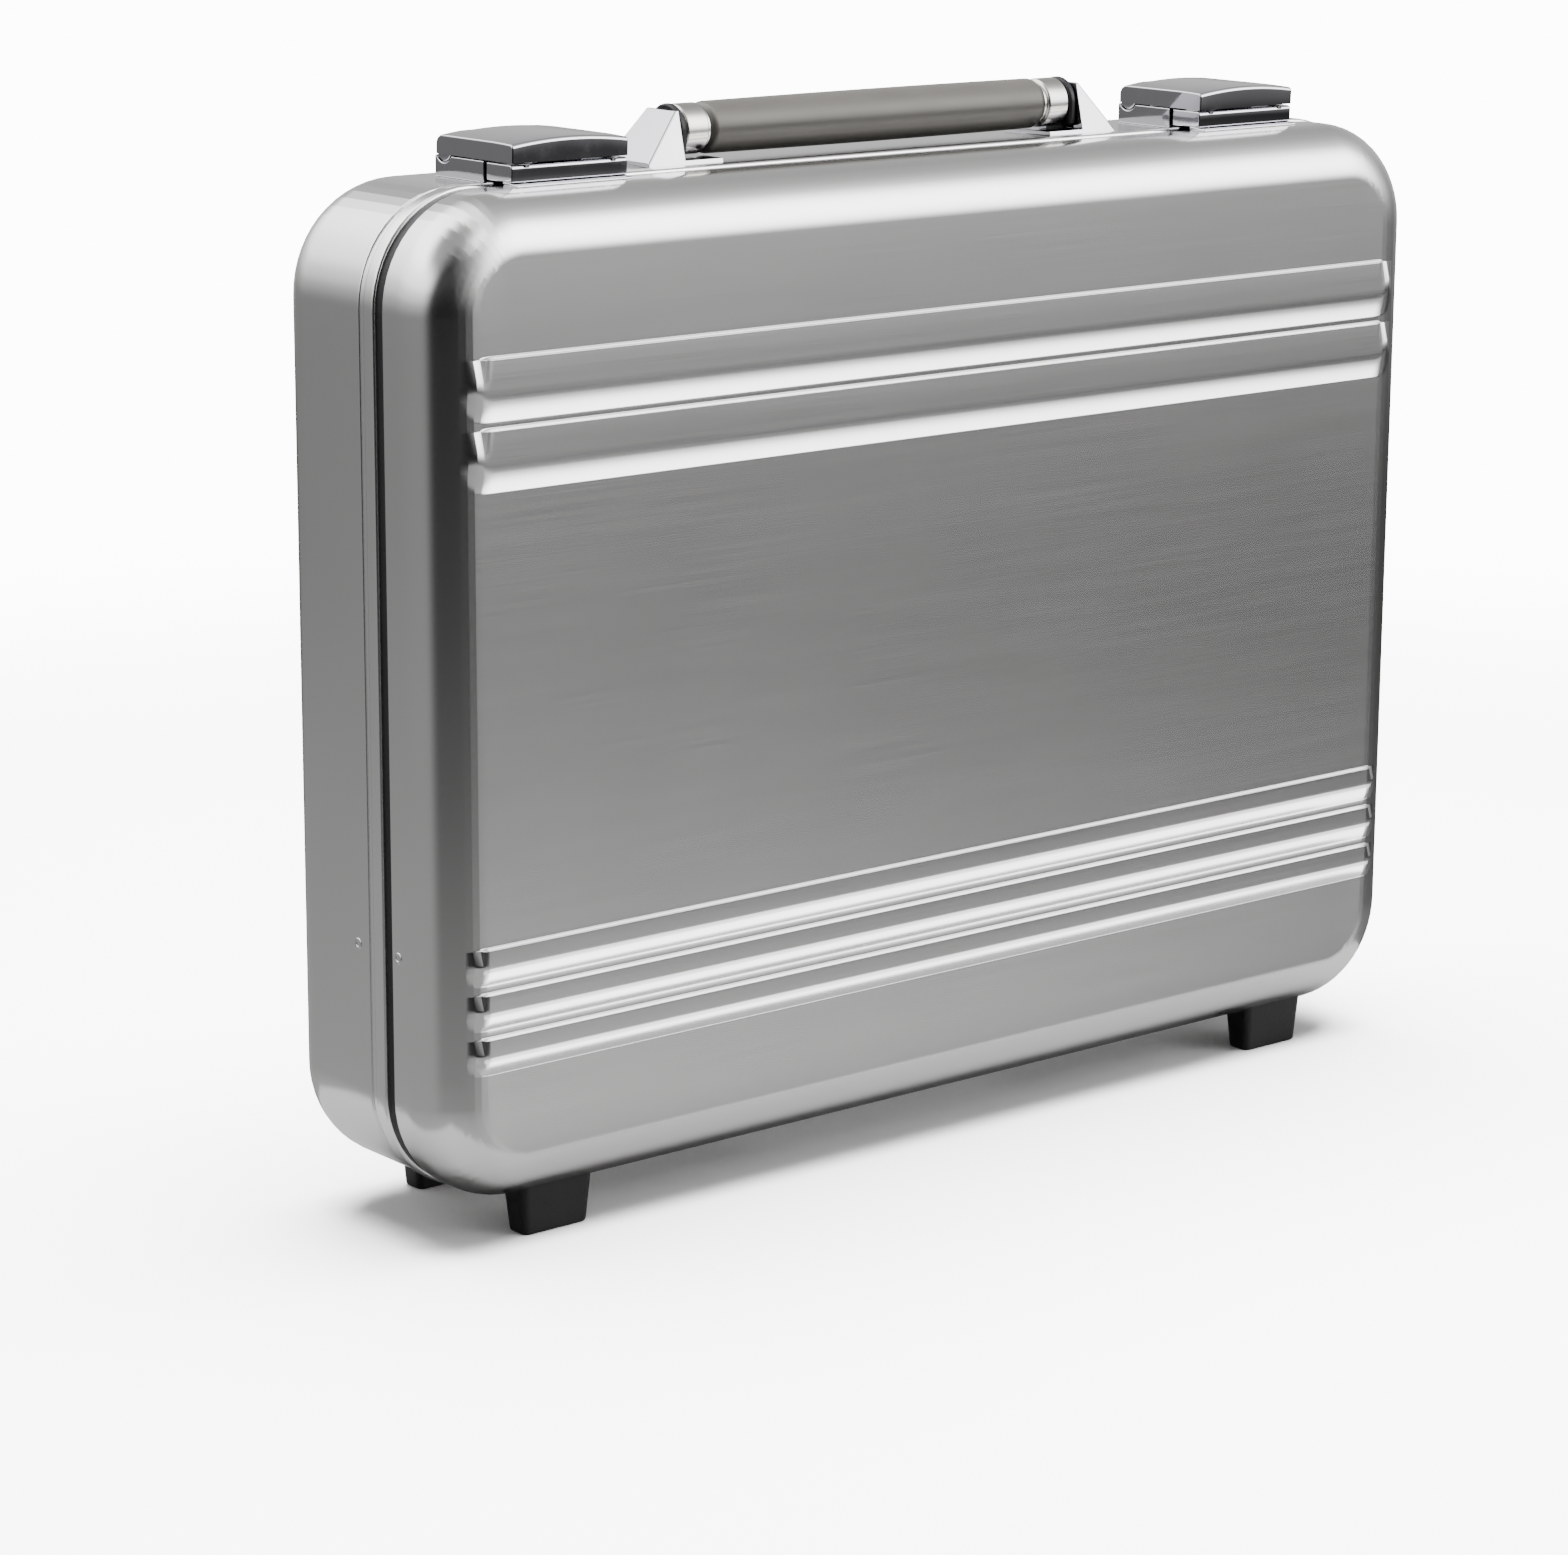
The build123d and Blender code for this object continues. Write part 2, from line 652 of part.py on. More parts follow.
def latch_catch(side):
    """The keeper on the lid: it reaches back over the seam and has a slot for the claw."""
    x = side * latch_x
    half = latch_width / 2
    top = case_height + catch_height
    step_y = lid_edge_y - fit_gap
    over = case_height + frame_proud + fit_gap
    body = block(x - half, x + half, catch_front_y, step_y, case_height, top)
    body += block(x - half, x + half, step_y, catch_rear_y, over, top)
    slot_half = hook_width / 2 + hook_slot_gap
    reach = hook_thickness / 2 + hook_slot_gap
    floor_z = case_height + hook_tip_height - hook_slot_floor_gap
    body -= block(x - slot_half, x + slot_half, -reach, reach, floor_z, top + 1)
    for rx, ry in catch_rivet_places(side):
        body -= rivet_hole(rx, ry, top)
    return body


def latch_spring(side):
    """The torsion spring round the pin, with a leg down to the body."""
    x = side * latch_x
    axis_z = case_height + latch_axis_height
    half = spring_length / 2
    coil = rod_x(spring_radius, x - half, x + half, latch_axis_y, axis_z)
    leg_floor = axis_z - latch_barrel_radius - fit_gap
    y0 = latch_axis_y - spring_wire / 2
    leg = block(x - half, x - half + spring_wire, y0, y0 + spring_wire, leg_floor, axis_z)
    return coil + leg - rod_x(latch_pin_radius, x - half, x + half, latch_axis_y, axis_z)


def make_latches():
    """Two latches: body, lever, hook, catch, pin, spring and rivets."""
    body_rivets = []
    catch_rivets = []
    axis_z = case_height + latch_axis_height
    for name, side in SIDES.items():
        x = side * latch_x
        half = latch_width / 2 - latch_pin_end_gap
        add(f"latch_body_{name}", latch_body(side))
        add(f"latch_lever_{name}", latch_lever(side))
        add(f"latch_hook_{name}", latch_hook(side))
        add(f"latch_catch_{name}", latch_catch(side))
        add(f"latch_pin_{name}", rod_x(latch_pin_radius, x - half, x + half, latch_axis_y, axis_z))
        add(f"latch_spring_{name}", latch_spring(side))
        body_top = case_height + latch_body_height
        catch_top = case_height + catch_height
        for rx, ry in latch_body_rivet_places(side):
            body_rivets.append(flush_rivet(rx, ry, body_top, flange_inner))
        for rx, ry in catch_rivet_places(side):
            catch_rivets.append(flush_rivet(rx, ry, catch_top, tongue_inner))
    add("latch_body_rivets", Compound(children=body_rivets))
    add("latch_catch_rivets", Compound(children=catch_rivets))


# ---------------------------------------------------------------- handle


def tongue_slot(side):
    """The clearance for a handle tongue through the bracket, the shell, the frame and the plate."""
    middle = side * (link_inner_x + link_thickness / 2)
    half_x = tongue_thickness / 2 + fit_gap
    half_y = tongue_width / 2 + fit_gap
    low = case_height - flange_inner - backing_plate - 1
    high = case_height + bracket_plate + 1
    y0 = handle_axis_y - half_y
    y1 = handle_axis_y + half_y
    return block(middle - half_x, middle + half_x, y0, y1, low, high)


def bracket_rivet_places(side):
    """Two rivets in a bracket's inner toe."""
    x = side * (bracket_inner_x - bracket_toe + bracket_rivet_end_gap)
    reach = bracket_depth / 2 - bracket_rivet_side_gap
    return [(x, handle_axis_y - reach), (x, handle_axis_y + reach)]


def bracket_taper(side):
    """A prism along X: the bracket's front and back lean towards each other."""
    half_low = bracket_depth / 2
    half_high = bracket_apex_depth / 2
    top = case_height + bracket_apex_height
    points = [
        (0, handle_axis_y - half_low, case_height),
        (0, handle_axis_y + half_low, case_height),
        (0, handle_axis_y + half_high, top),
        (0, handle_axis_y - half_high, top),
    ]
    x0, x1 = mirrored_x(bracket_inner_x - bracket_toe - 1, bracket_outer_x + 1, side)
    face = make_face(Polyline(*points, close=True))
    return Pos(x0, 0, 0) * extrude(face, amount=x1 - x0, dir=(1, 0, 0))


def handle_bracket(side):
    """A polished wedge with a flat toe that reaches inwards under the ferrule."""
    inner = bracket_inner_x
    apex = inner + bracket_apex_width
    outer = apex + bracket_slope_run
    toe = inner - bracket_toe
    points = [
        (toe, 0),
        (outer, 0),
        (outer, bracket_plate),
        (apex, bracket_apex_height),
        (inner, bracket_apex_height),
        (inner, bracket_plate),
        (toe, bracket_plate),
    ]
    side_points = [(side * x, case_height / 2 + z) for x, z in points]
    y0 = handle_axis_y - bracket_depth / 2
    profile = make_face(Polyline(*side_points, close=True))
    body = along_y(profile, y0, y0 + bracket_depth) & bracket_taper(side)
    body -= tongue_slot(side)
    for x, y in bracket_rivet_places(side):
        body -= rod_z(rivet_radius, x, y, case_height - 1, case_height + bracket_plate + 1)
    return body


def handle_link(side):
    """A dark end plate: a round head, square shoulders and a tongue that slides into the case."""
    x0, x1 = mirrored_x(link_inner_x, link_outer_x, side)
    middle = (x0 + x1) / 2
    axis_z = case_height + handle_axis_height
    shoulder = case_height + link_shoulder_height
    y = handle_axis_y
    half = link_shoulder_width / 2
    body = rod_x(link_head_radius, x0, x1, y, axis_z)
    body += block(x0, x1, y - half, y + half, shoulder, axis_z)
    tip = tongue_tip_z()
    half_t = tongue_thickness / 2
    half_w = tongue_width / 2
    body += block(middle - half_t, middle + half_t, y - half_w, y + half_w, tip, shoulder)
    half_s = stop_width / 2
    body += block(middle - half_t, middle + half_t, y - half_s, y + half_s, tip, tip + stop_height)
    body -= rod_x(link_screw_radius, x0 - 1, x1 + 1, y, axis_z)
    head_x = link_outer_x - link_screw_head_depth
    head0, head1 = mirrored_x(head_x, link_outer_x, side)
    body -= rod_x(link_screw_head_radius, head0, head1, y, axis_z)
    return body


def tongue_tip_z():
    """The lower end of the tongue, so that its stop meets the backing plate at full lift."""
    plate_low = case_height - flange_inner - backing_plate
    return plate_low - fit_gap - handle_lift - stop_height


def guide_box(side, grow):
    """The outer size of a guide housing inside the base, with room added all round."""
    middle = side * (link_inner_x + link_thickness / 2)
    half_x = tongue_thickness / 2 + fit_gap + guide_wall + grow
    half_y = stop_width / 2 + fit_gap + guide_wall + grow
    low = tongue_tip_z() - 1 - guide_wall - grow
    top = case_height - flange_inner - backing_plate
    y0 = handle_axis_y - half_y
    y1 = handle_axis_y + half_y
    return block(middle - half_x, middle + half_x, y0, y1, low, top + grow)


def guide_clearance(side):
    """The space that the lining leaves round a guide housing."""
    return guide_box(side, lining_gap)


def plate_clearance():
    """The space that the lining leaves under the handle's backing plate."""
    reach = bracket_outer_x + lining_gap
    y0 = handle_axis_y - bracket_depth / 2 - lining_gap
    y1 = handle_axis_y + bracket_depth / 2 + lining_gap
    low = case_height - flange_inner - backing_plate - lining_gap
    return block(-reach, reach, y0, y1, low, case_height)


def handle_guide(side):
    """A moulded housing that hides a tongue inside the base."""
    middle = side * (link_inner_x + link_thickness / 2)
    half_x = tongue_thickness / 2 + fit_gap
    half_y = stop_width / 2 + fit_gap
    low = tongue_tip_z() - 1
    top = case_height - flange_inner - backing_plate + 1
    y0 = handle_axis_y - half_y
    y1 = handle_axis_y + half_y
    return guide_box(side, 0) - block(middle - half_x, middle + half_x, y0, y1, low, top)


def make_handle():
    """The pull-up handle and what holds it."""
    axis_z = case_height + handle_axis_height
    y = handle_axis_y
    grip = rod_x(grip_radius, -grip_half_length, grip_half_length, y, axis_z)
    ends = grip.edges().filter_by(GeomType.CIRCLE)
    grip = fillet(ends, grip_end_radius)
    grip -= rod_x(core_radius, -grip_half_length - 1, grip_half_length + 1, y, axis_z)
    add("handle_grip", grip)
    core = rod_x(core_radius, -link_inner_x, link_inner_x, y, axis_z)
    rivets = []
    screws = []
    for name, side in SIDES.items():
        f0, f1 = mirrored_x(grip_half_length, link_inner_x, side)
        ferrule = rod_x(ferrule_radius, f0, f1, y, axis_z)
        ferrule -= rod_x(core_radius, f0, f1, y, axis_z)
        add(f"handle_ferrule_{name}", ferrule)
        add(f"handle_link_{name}", handle_link(side))
        add(f"handle_bracket_{name}", handle_bracket(side))
        add(f"handle_guide_{name}", handle_guide(side))
        tip = link_inner_x - link_screw_length
        s0, s1 = mirrored_x(tip, link_outer_x, side)
        head_x = link_outer_x - link_screw_head_depth
        h0, h1 = mirrored_x(head_x, link_outer_x, side)
        screw = rod_x(link_screw_radius, s0, s1, y, axis_z)
        screw += rod_x(link_screw_head_radius, h0, h1, y, axis_z)
        screws.append(screw)
        core -= rod_x(link_screw_radius, s0, s1, y, axis_z)
        low = flange_inner + backing_plate
        for rx, ry in bracket_rivet_places(side):
            top = case_height + bracket_plate
            rivet = rod_z(rivet_radius, rx, ry, case_height - low, top)
            rivets.append(rivet)
    add("handle_core_rod", core)
    add("handle_link_screws", Compound(children=screws))
    add("handle_bracket_rivets", Compound(children=rivets))
    plate_top = case_height - flange_inner
    reach = bracket_outer_x
    y0 = y - bracket_depth / 2
    plate = block(-reach, reach, y0, y0 + bracket_depth, plate_top - backing_plate, plate_top)
    for side in SIDES.values():
        plate -= tongue_slot(side)
        for rx, ry in bracket_rivet_places(side):
            plate -= rod_z(rivet_radius, rx, ry, plate_top - backing_plate - 1, plate_top + 1)
    add("handle_backing_plate", plate)


make_shells()
make_frames()
make_linings()
make_feet()
make_hinges()
make_stays()
make_latches()
make_handle()

os.makedirs("parts", exist_ok=True)
for node, shape in nodes.items():
    placed = Pos(0, seam_offset_y, foot_height) * shape
    placed.label = node
    export_step(placed, f"parts/{node}.step")
print(len(nodes), "nodes written")
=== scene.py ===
"""An aluminium attache case, built around its fixed frame as a Blender add-on.

Sizes in the property groups are in metres. Every piece is modelled in place, in the frame's own
axes: +X to the right, the shallow lid towards -Y, the deep base towards +Y, the floor at Z = 0.
"""

import json
import math
import random

import bmesh
import bpy
from bpy.props import FloatProperty, FloatVectorProperty, PointerProperty
from mathutils import Matrix, Vector, noise


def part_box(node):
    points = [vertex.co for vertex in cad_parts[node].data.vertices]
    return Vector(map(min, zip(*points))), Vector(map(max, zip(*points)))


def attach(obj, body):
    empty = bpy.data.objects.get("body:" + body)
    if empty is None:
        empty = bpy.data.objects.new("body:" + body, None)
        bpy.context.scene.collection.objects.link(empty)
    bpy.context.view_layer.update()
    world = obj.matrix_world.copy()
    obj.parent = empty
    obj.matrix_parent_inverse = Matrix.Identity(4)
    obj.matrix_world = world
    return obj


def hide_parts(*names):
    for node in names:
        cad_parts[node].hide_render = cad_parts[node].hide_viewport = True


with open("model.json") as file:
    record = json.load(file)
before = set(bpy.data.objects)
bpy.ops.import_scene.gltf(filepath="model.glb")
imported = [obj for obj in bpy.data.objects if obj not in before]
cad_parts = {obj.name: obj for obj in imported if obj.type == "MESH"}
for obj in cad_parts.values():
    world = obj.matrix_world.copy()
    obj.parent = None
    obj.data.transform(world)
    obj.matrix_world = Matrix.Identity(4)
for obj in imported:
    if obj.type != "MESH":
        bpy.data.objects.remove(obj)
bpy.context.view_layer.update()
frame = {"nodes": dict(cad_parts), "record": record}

bl_info = {
    "name": "Aluminium attache case",
    "version": (1, 0, 0),
    "blender": (4, 5, 0),
    "location": "View3D > Sidebar > Attache",
    "description": "Builds the case's shells, hardware, handle, linings and stage",
    "category": "Object",
}

SIDES = {"left": -1, "right": 1}


def node_box(name):
    """A node's lowest and highest corners as vectors."""
    low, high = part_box(name)
    return Vector(low), Vector(high)


LID_LOW, LID_HIGH = node_box("lid_shell")
BASE_LOW, BASE_HIGH = node_box("base_shell")
CASE_FLOOR = BASE_LOW.z
CASE_TOP = BASE_HIGH.z
CASE_WIDTH = BASE_HIGH.x - BASE_LOW.x
CASE_HEIGHT = CASE_TOP - CASE_FLOOR


# ---------------------------------------------------------------- properties


def metres(name, description, default):
    """A length property in metres."""
    return FloatProperty(
        name=name, description=description, default=default, min=0.0, unit="LENGTH",
        subtype="DISTANCE", precision=5,
    )


def colour(name, description, default):
    """A linear colour property."""
    return FloatVectorProperty(
        name=name, description=description, default=default, size=3, min=0.0, max=1.0,
        subtype="COLOR",
    )


class AttacheShellSettings(bpy.types.PropertyGroup):
    """Sizes and colours of the two drawn shells and their frames."""

    corner_radius: metres("Corner radius", "Radius of the case's corners seen from the front", 0.038)
    edge_radius: metres("Edge radius", "Radius of the rounded edge round each broad face", 0.0194)
    wall: metres("Wall", "Thickness of the sheet", 0.0015)
    rib_rise: metres("Rib rise", "How far a pressed rib stands out of the sheet", 0.0018)
    rib_end_inset: metres("Rib end inset", "From the case's side to the end of a rib", 0.0125)
    wide_rib_width: metres("Wide rib width", "Width of an upper rib at its foot", 0.0216)
    wide_rib_crest: metres("Wide rib crest", "Width of an upper rib's flat crest", 0.0120)
    wide_rib_top_drop: metres("Wide rib drop", "From the case's top to the highest rib", 0.0613)
    wide_rib_pitch: metres("Wide rib pitch", "Between the middles of the upper ribs", 0.0231)
    narrow_rib_width: metres("Narrow rib width", "Width of a lower rib at its foot", 0.0134)
    narrow_rib_crest: metres("Narrow rib crest", "Width of a lower rib's flat crest", 0.0062)
    narrow_rib_rise: metres("Narrow rib height", "From the case's bottom to the lowest rib", 0.0558)
    narrow_rib_pitch: metres("Narrow rib pitch", "Between the middles of the lower ribs", 0.0154)
    rib_ease: FloatProperty(
        name="Rib ease", description="Length of a rib's steep upper side, as a share of its step",
        default=0.22, min=0.1, max=2.5,
    )
    rib_round: FloatProperty(
        name="Rib round", description="Length of a rib's domed lower side, as a share of its step",
        default=2.0, min=1.0, max=2.5,
    )
    bead_width: metres("Bead width", "Width of the bright bead on the base frame", 0.0060)
    aluminium: colour("Aluminium", "Colour of the satin sheet", (0.80, 0.797, 0.785))
    bright_aluminium: colour("Bright aluminium", "Colour of the extruded frames", (0.88, 0.88, 0.87))


class AttacheHardwareSettings(bpy.types.PropertyGroup):
    """Sizes and colours of the latches, the handle, the feet and the fasteners."""

    latch_bevel: metres("Latch edge", "Rounding of a latch's edges", 0.0009)
    lever_crown: metres("Lever crown", "How far the lever's top falls at its sides", 0.0017)
    front_round: metres("Front rounding", "Rounding of the latches' front edges", 0.0013)
    grip_swell: metres("Grip swell", "How much thicker the grip is at its middle", 0.00025)
    foot_round: metres("Foot rounding", "Rounding of a foot's upright edges", 0.0030)
    chrome: colour("Chrome", "Colour of the polished plating", (0.55, 0.55, 0.58))
    steel: colour("Zinc steel", "Colour of the plated steel", (0.56, 0.57, 0.58))
    grip: colour("Grip", "Colour of the grip's coating", (0.085, 0.081, 0.075))
    ferrule: colour("Ferrule", "Colour of the turned ferrules", (0.66, 0.65, 0.62))
    black: colour("Black moulding", "Colour of the moulded black parts", (0.004, 0.004, 0.0045))
    rubber: colour("Rubber", "Colour of the feet and the gasket", (0.006, 0.006, 0.0065))


class AttacheInteriorSettings(bpy.types.PropertyGroup):
    """Sizes and colours of the linings and the document pocket."""

    quilt_pitch: metres("Quilt pitch", "Between the stitched lines of the lining", 0.034)
    quilt_depth: metres("Quilt depth", "How deep the stitched lines pull in", 0.0011)
    pocket_puff: metres("Pocket puff", "How far the pocket may swell", 0.0030)
    cloth: colour("Lining cloth", "Colour of the lining", (0.060, 0.062, 0.070))
    leather: colour("Pocket leather", "Colour of the pocket", (0.030, 0.027, 0.026))


class AttacheStageSettings(bpy.types.PropertyGroup):
    """The floor, the light and the camera."""

    floor_radius: metres("Floor radius", "Where the floor fades into the backdrop", 1.30)
    lens: FloatProperty(name="Lens", description="Focal length in millimetres", default=104.56)
    azimuth: FloatProperty(
        name="Azimuth", description="The camera's turn about the case", unit="ROTATION",
        default=math.radians(-39.354), subtype="ANGLE",
    )
    elevation: FloatProperty(
        name="Elevation", description="How far the camera looks down", unit="ROTATION",
        default=math.radians(13.641), subtype="ANGLE",
    )
    roll: FloatProperty(
        name="Roll", description="The camera's tilt about its own axis", unit="ROTATION",
        default=math.radians(0.274), subtype="ANGLE",
    )
    camera_place: FloatVectorProperty(
        name="Camera place", description="Where the camera stands", size=3, unit="LENGTH",
        default=(-1.05025, -1.22726, 0.51800), subtype="XYZ",
    )
    backdrop: colour("Backdrop", "Colour of the backdrop", (0.86, 0.86, 0.86))


# ---------------------------------------------------------------- shader helpers


def add_node(tree, kind, inputs=(), **values):
    """A shader node with attributes set and inputs given by name or number."""
    made = tree.nodes.new(kind)
    for key, value in values.items():
        setattr(made, key, value)
    for key, value in dict(inputs).items():
        made.inputs[key].default_value = value
    return made


def maths(tree, operation, a, b=None, c=None, clamp=False):
    """A math node. Arguments are numbers or output sockets."""
    made = tree.nodes.new("ShaderNodeMath")
    made.operation = operation
    made.use_clamp = clamp
    for slot, value in enumerate((a, b, c)):
        if value is None:
            continue
        if isinstance(value, (int, float)):
            made.inputs[slot].default_value = value
        else:
            tree.links.new(value, made.inputs[slot])
    return made.outputs[0]


def remap(tree, value, low, high, out_low, out_high):
    """A clamped smooth map of a value from one range to another."""
    made = tree.nodes.new("ShaderNodeMapRange")
    made.interpolation_type = "SMOOTHSTEP"
    tree.links.new(value, made.inputs["Value"])
    limits = {"From Min": low, "From Max": high, "To Min": out_low, "To Max": out_high}
    for key, number in limits.items():
        made.inputs[key].default_value = number
    return made.outputs["Result"]


def shade(tree, base, factor_socket):
    """A colour times a value that changes over the surface."""
    made = tree.nodes.new("ShaderNodeMix")
    made.data_type = "RGBA"
    made.blend_type = "MULTIPLY"
    made.inputs["Factor"].default_value = 1.0
    made.inputs["A"].default_value = (*base, 1.0)
    combine = tree.nodes.new("ShaderNodeCombineColor")
    for channel in ("Red", "Green", "Blue"):
        tree.links.new(factor_socket, combine.inputs[channel])
    tree.links.new(combine.outputs["Color"], made.inputs["B"])
    return made.outputs["Result"]


def group_tree(name, inputs, outputs):
    """An empty shader node group with named float inputs and outputs."""
    tree = bpy.data.node_groups.new(name, "ShaderNodeTree")
    for label, default in inputs:
        made = tree.interface.new_socket(label, in_out="INPUT", socket_type="NodeSocketFloat")
        made.default_value = default
    for label in outputs:
        tree.interface.new_socket(label, in_out="OUTPUT", socket_type="NodeSocketFloat")
    start = tree.nodes.new("NodeGroupInput")
    end = tree.nodes.new("NodeGroupOutput")
    return tree, start, end


def brushed_group():
    """Fine straight scratches along one direction, with cloudy unevenness."""
    name = "Brushed finish"
    if name in bpy.data.node_groups:
        return bpy.data.node_groups[name]
    inputs = [("Length", 40.0), ("Across", 2600.0), ("Cloud", 9.0)]
    tree, start, end = group_tree(name, inputs, ["Streaks", "Clouds"])
    coords = tree.nodes.new("ShaderNodeTexCoord")
    split = tree.nodes.new("ShaderNodeSeparateXYZ")
    tree.links.new(coords.outputs["Object"], split.inputs[0])
    stretch = tree.nodes.new("ShaderNodeCombineXYZ")
    along = maths(tree, "MULTIPLY", split.outputs["X"], start.outputs["Length"])
    deep = maths(tree, "MULTIPLY", split.outputs["Y"], start.outputs["Across"])
    tall = maths(tree, "MULTIPLY", split.outputs["Z"], start.outputs["Across"])
    for value, axis in ((along, "X"), (deep, "Y"), (tall, "Z")):
        tree.links.new(value, stretch.inputs[axis])
    streak = add_node(tree, "ShaderNodeTexNoise", {"Scale": 1.0, "Detail": 3.0, "Roughness": 0.6})
    tree.links.new(stretch.outputs[0], streak.inputs["Vector"])
    cloud = add_node(tree, "ShaderNodeTexNoise", {"Detail": 2.0, "Roughness": 0.5})
    tree.links.new(coords.outputs["Object"], cloud.inputs["Vector"])
    tree.links.new(start.outputs["Cloud"], cloud.inputs["Scale"])
    tree.links.new(streak.outputs["Fac"], end.inputs["Streaks"])
    tree.links.new(cloud.outputs["Fac"], end.inputs["Clouds"])
    return tree


def grain_group():
    """A pebbled grain for moulded rubber, plastic and leather."""
    name = "Moulded grain"
    if name in bpy.data.node_groups:
        return bpy.data.node_groups[name]
    tree, start, end = group_tree(name, [("Size", 900.0), ("Dust", 40.0)], ["Grain", "Dust"])
    coords = tree.nodes.new("ShaderNodeTexCoord")
    cells = add_node(tree, "ShaderNodeTexVoronoi", feature="SMOOTH_F1")
    tree.links.new(coords.outputs["Object"], cells.inputs["Vector"])
    tree.links.new(start.outputs["Size"], cells.inputs["Scale"])
    dust = add_node(tree, "ShaderNodeTexNoise", {"Detail": 5.0, "Roughness": 0.65})
    tree.links.new(coords.outputs["Object"], dust.inputs["Vector"])
    tree.links.new(start.outputs["Dust"], dust.inputs["Scale"])
    tree.links.new(cells.outputs["Distance"], end.inputs["Grain"])
    tree.links.new(dust.outputs["Fac"], end.inputs["Dust"])
    return tree


def weave_group():
    """A plain woven cloth: two crossed sets of threads with a little slub."""
    name = "Plain weave"
    if name in bpy.data.node_groups:
        return bpy.data.node_groups[name]
    tree, start, end = group_tree(name, [("Threads", 1100.0)], ["Weave", "Slub"])
    coords = tree.nodes.new("ShaderNodeTexCoord")
    split = tree.nodes.new("ShaderNodeSeparateXYZ")
    tree.links.new(coords.outputs["Object"], split.inputs[0])
    threads = start.outputs["Threads"]
    across = maths(tree, "ADD", split.outputs["X"], split.outputs["Y"])
    warp_phase = maths(tree, "MULTIPLY", across, threads)
    weft_phase = maths(tree, "MULTIPLY", split.outputs["Z"], threads)
    warp = maths(tree, "SINE", warp_phase)
    weft = maths(tree, "SINE", weft_phase)
    weave = maths(tree, "MULTIPLY", warp, weft)
    slub = add_node(tree, "ShaderNodeTexNoise", {"Scale": 90.0, "Detail": 4.0})
    tree.links.new(coords.outputs["Object"], slub.inputs["Vector"])
    tree.links.new(weave, end.inputs["Weave"])
    tree.links.new(slub.outputs["Fac"], end.inputs["Slub"])
    return tree


def place_group(tree, group, **inputs):
    """One use of a shared effect with its own values."""
    made = tree.nodes.new("ShaderNodeGroup")
    made.node_tree = group
    for key, value in inputs.items():
        made.inputs[key].default_value = value
    return made


def new_material(name, **constants):
    """A material with one Principled BSDF whose plain sockets are set by name."""
    made = bpy.data.materials.new(name)
    made.use_nodes = True
    shader = made.node_tree.nodes["Principled BSDF"]
    for key, value in constants.items():
        shader.inputs[key.replace("_", " ")].default_value = value
    return made, made.node_tree, shader


def bump(tree, shader, height, strength, distance):
    """A height into the shader's normal."""
    made = add_node(tree, "ShaderNodeBump", {"Strength": strength, "Distance": distance})
    tree.links.new(height, made.inputs["Height"])
    tree.links.new(made.outputs["Normal"], shader.inputs["Normal"])


# ---------------------------------------------------------------- materials


def wire(tree, shader, tone, roughness, height, strength, distance):
    """Links a colour, a roughness and a fine height into a shader."""
    tree.links.new(tone, shader.inputs["Base Color"])
    tree.links.new(roughness, shader.inputs["Roughness"])
    bump(tree, shader, height, strength, distance)


def brushed_metal(name, base, rough, spread, streak, bump_strength, length):
    """Satin metal with fine brushing: used for the sheet, the frames and the plated steel."""
    made, tree, shader = new_material(name, Metallic=1.0)
    effect = place_group(tree, brushed_group(), Length=length)
    streaks = effect.outputs["Streaks"]
    clouds = effect.outputs["Clouds"]
    tone = remap(tree, streaks, 0.3, 0.7, 1.0 - streak, 1.0)
    drift = remap(tree, clouds, 0.35, 0.65, 0.97, 1.0)
    tint = shade(tree, base, maths(tree, "MULTIPLY", tone, drift))
    roughness = remap(tree, streaks, 0.3, 0.7, rough, rough + spread)
    wire(tree, shader, tint, roughness, streaks, bump_strength, 0.0001)
    return made


def chrome_metal(name, base):
    """Polished plating with the faintest haze and hand marks."""
    made, tree, shader = new_material(name, Metallic=1.0)
    effect = place_group(tree, grain_group(), Size=260.0, Dust=55.0)
    haze = remap(tree, effect.outputs["Dust"], 0.45, 0.75, 0.045, 0.12)
    tone = remap(tree, effect.outputs["Dust"], 0.3, 0.8, 1.0, 0.95)
    wire(tree, shader, shade(tree, base, tone), haze, effect.outputs["Dust"], 0.02, 0.0001)
    return made


def grip_finish(name, base):
    """A soft metallic coating with a fine satin grain."""
    made, tree, shader = new_material(name, Metallic=0.75)
    effect = place_group(tree, grain_group(), Size=2600.0, Dust=30.0)
    tone = remap(tree, effect.outputs["Dust"], 0.3, 0.7, 0.93, 1.0)
    roughness = remap(tree, effect.outputs["Dust"], 0.3, 0.7, 0.36, 0.44)
    wire(tree, shader, shade(tree, base, tone), roughness, effect.outputs["Grain"], 0.10, 0.00015)
    return made


def moulded(name, base, rough, size, strength, dust=0.25):
    """Moulded rubber or plastic: pebbled, with a little dust in the grain."""
    made, tree, shader = new_material(name, Metallic=0.0)
    shader.inputs["Specular IOR Level"].default_value = 0.30
    effect = place_group(tree, grain_group(), Size=size, Dust=34.0)
    tone = remap(tree, effect.outputs["Dust"], 0.35, 0.75, 1.0, 1.0 + dust)
    roughness = remap(tree, effect.outputs["Dust"], 0.3, 0.7, rough, rough + 0.12)
    wire(tree, shader, shade(tree, base, tone), roughness, effect.outputs["Grain"], strength, 0.0002)
    return made


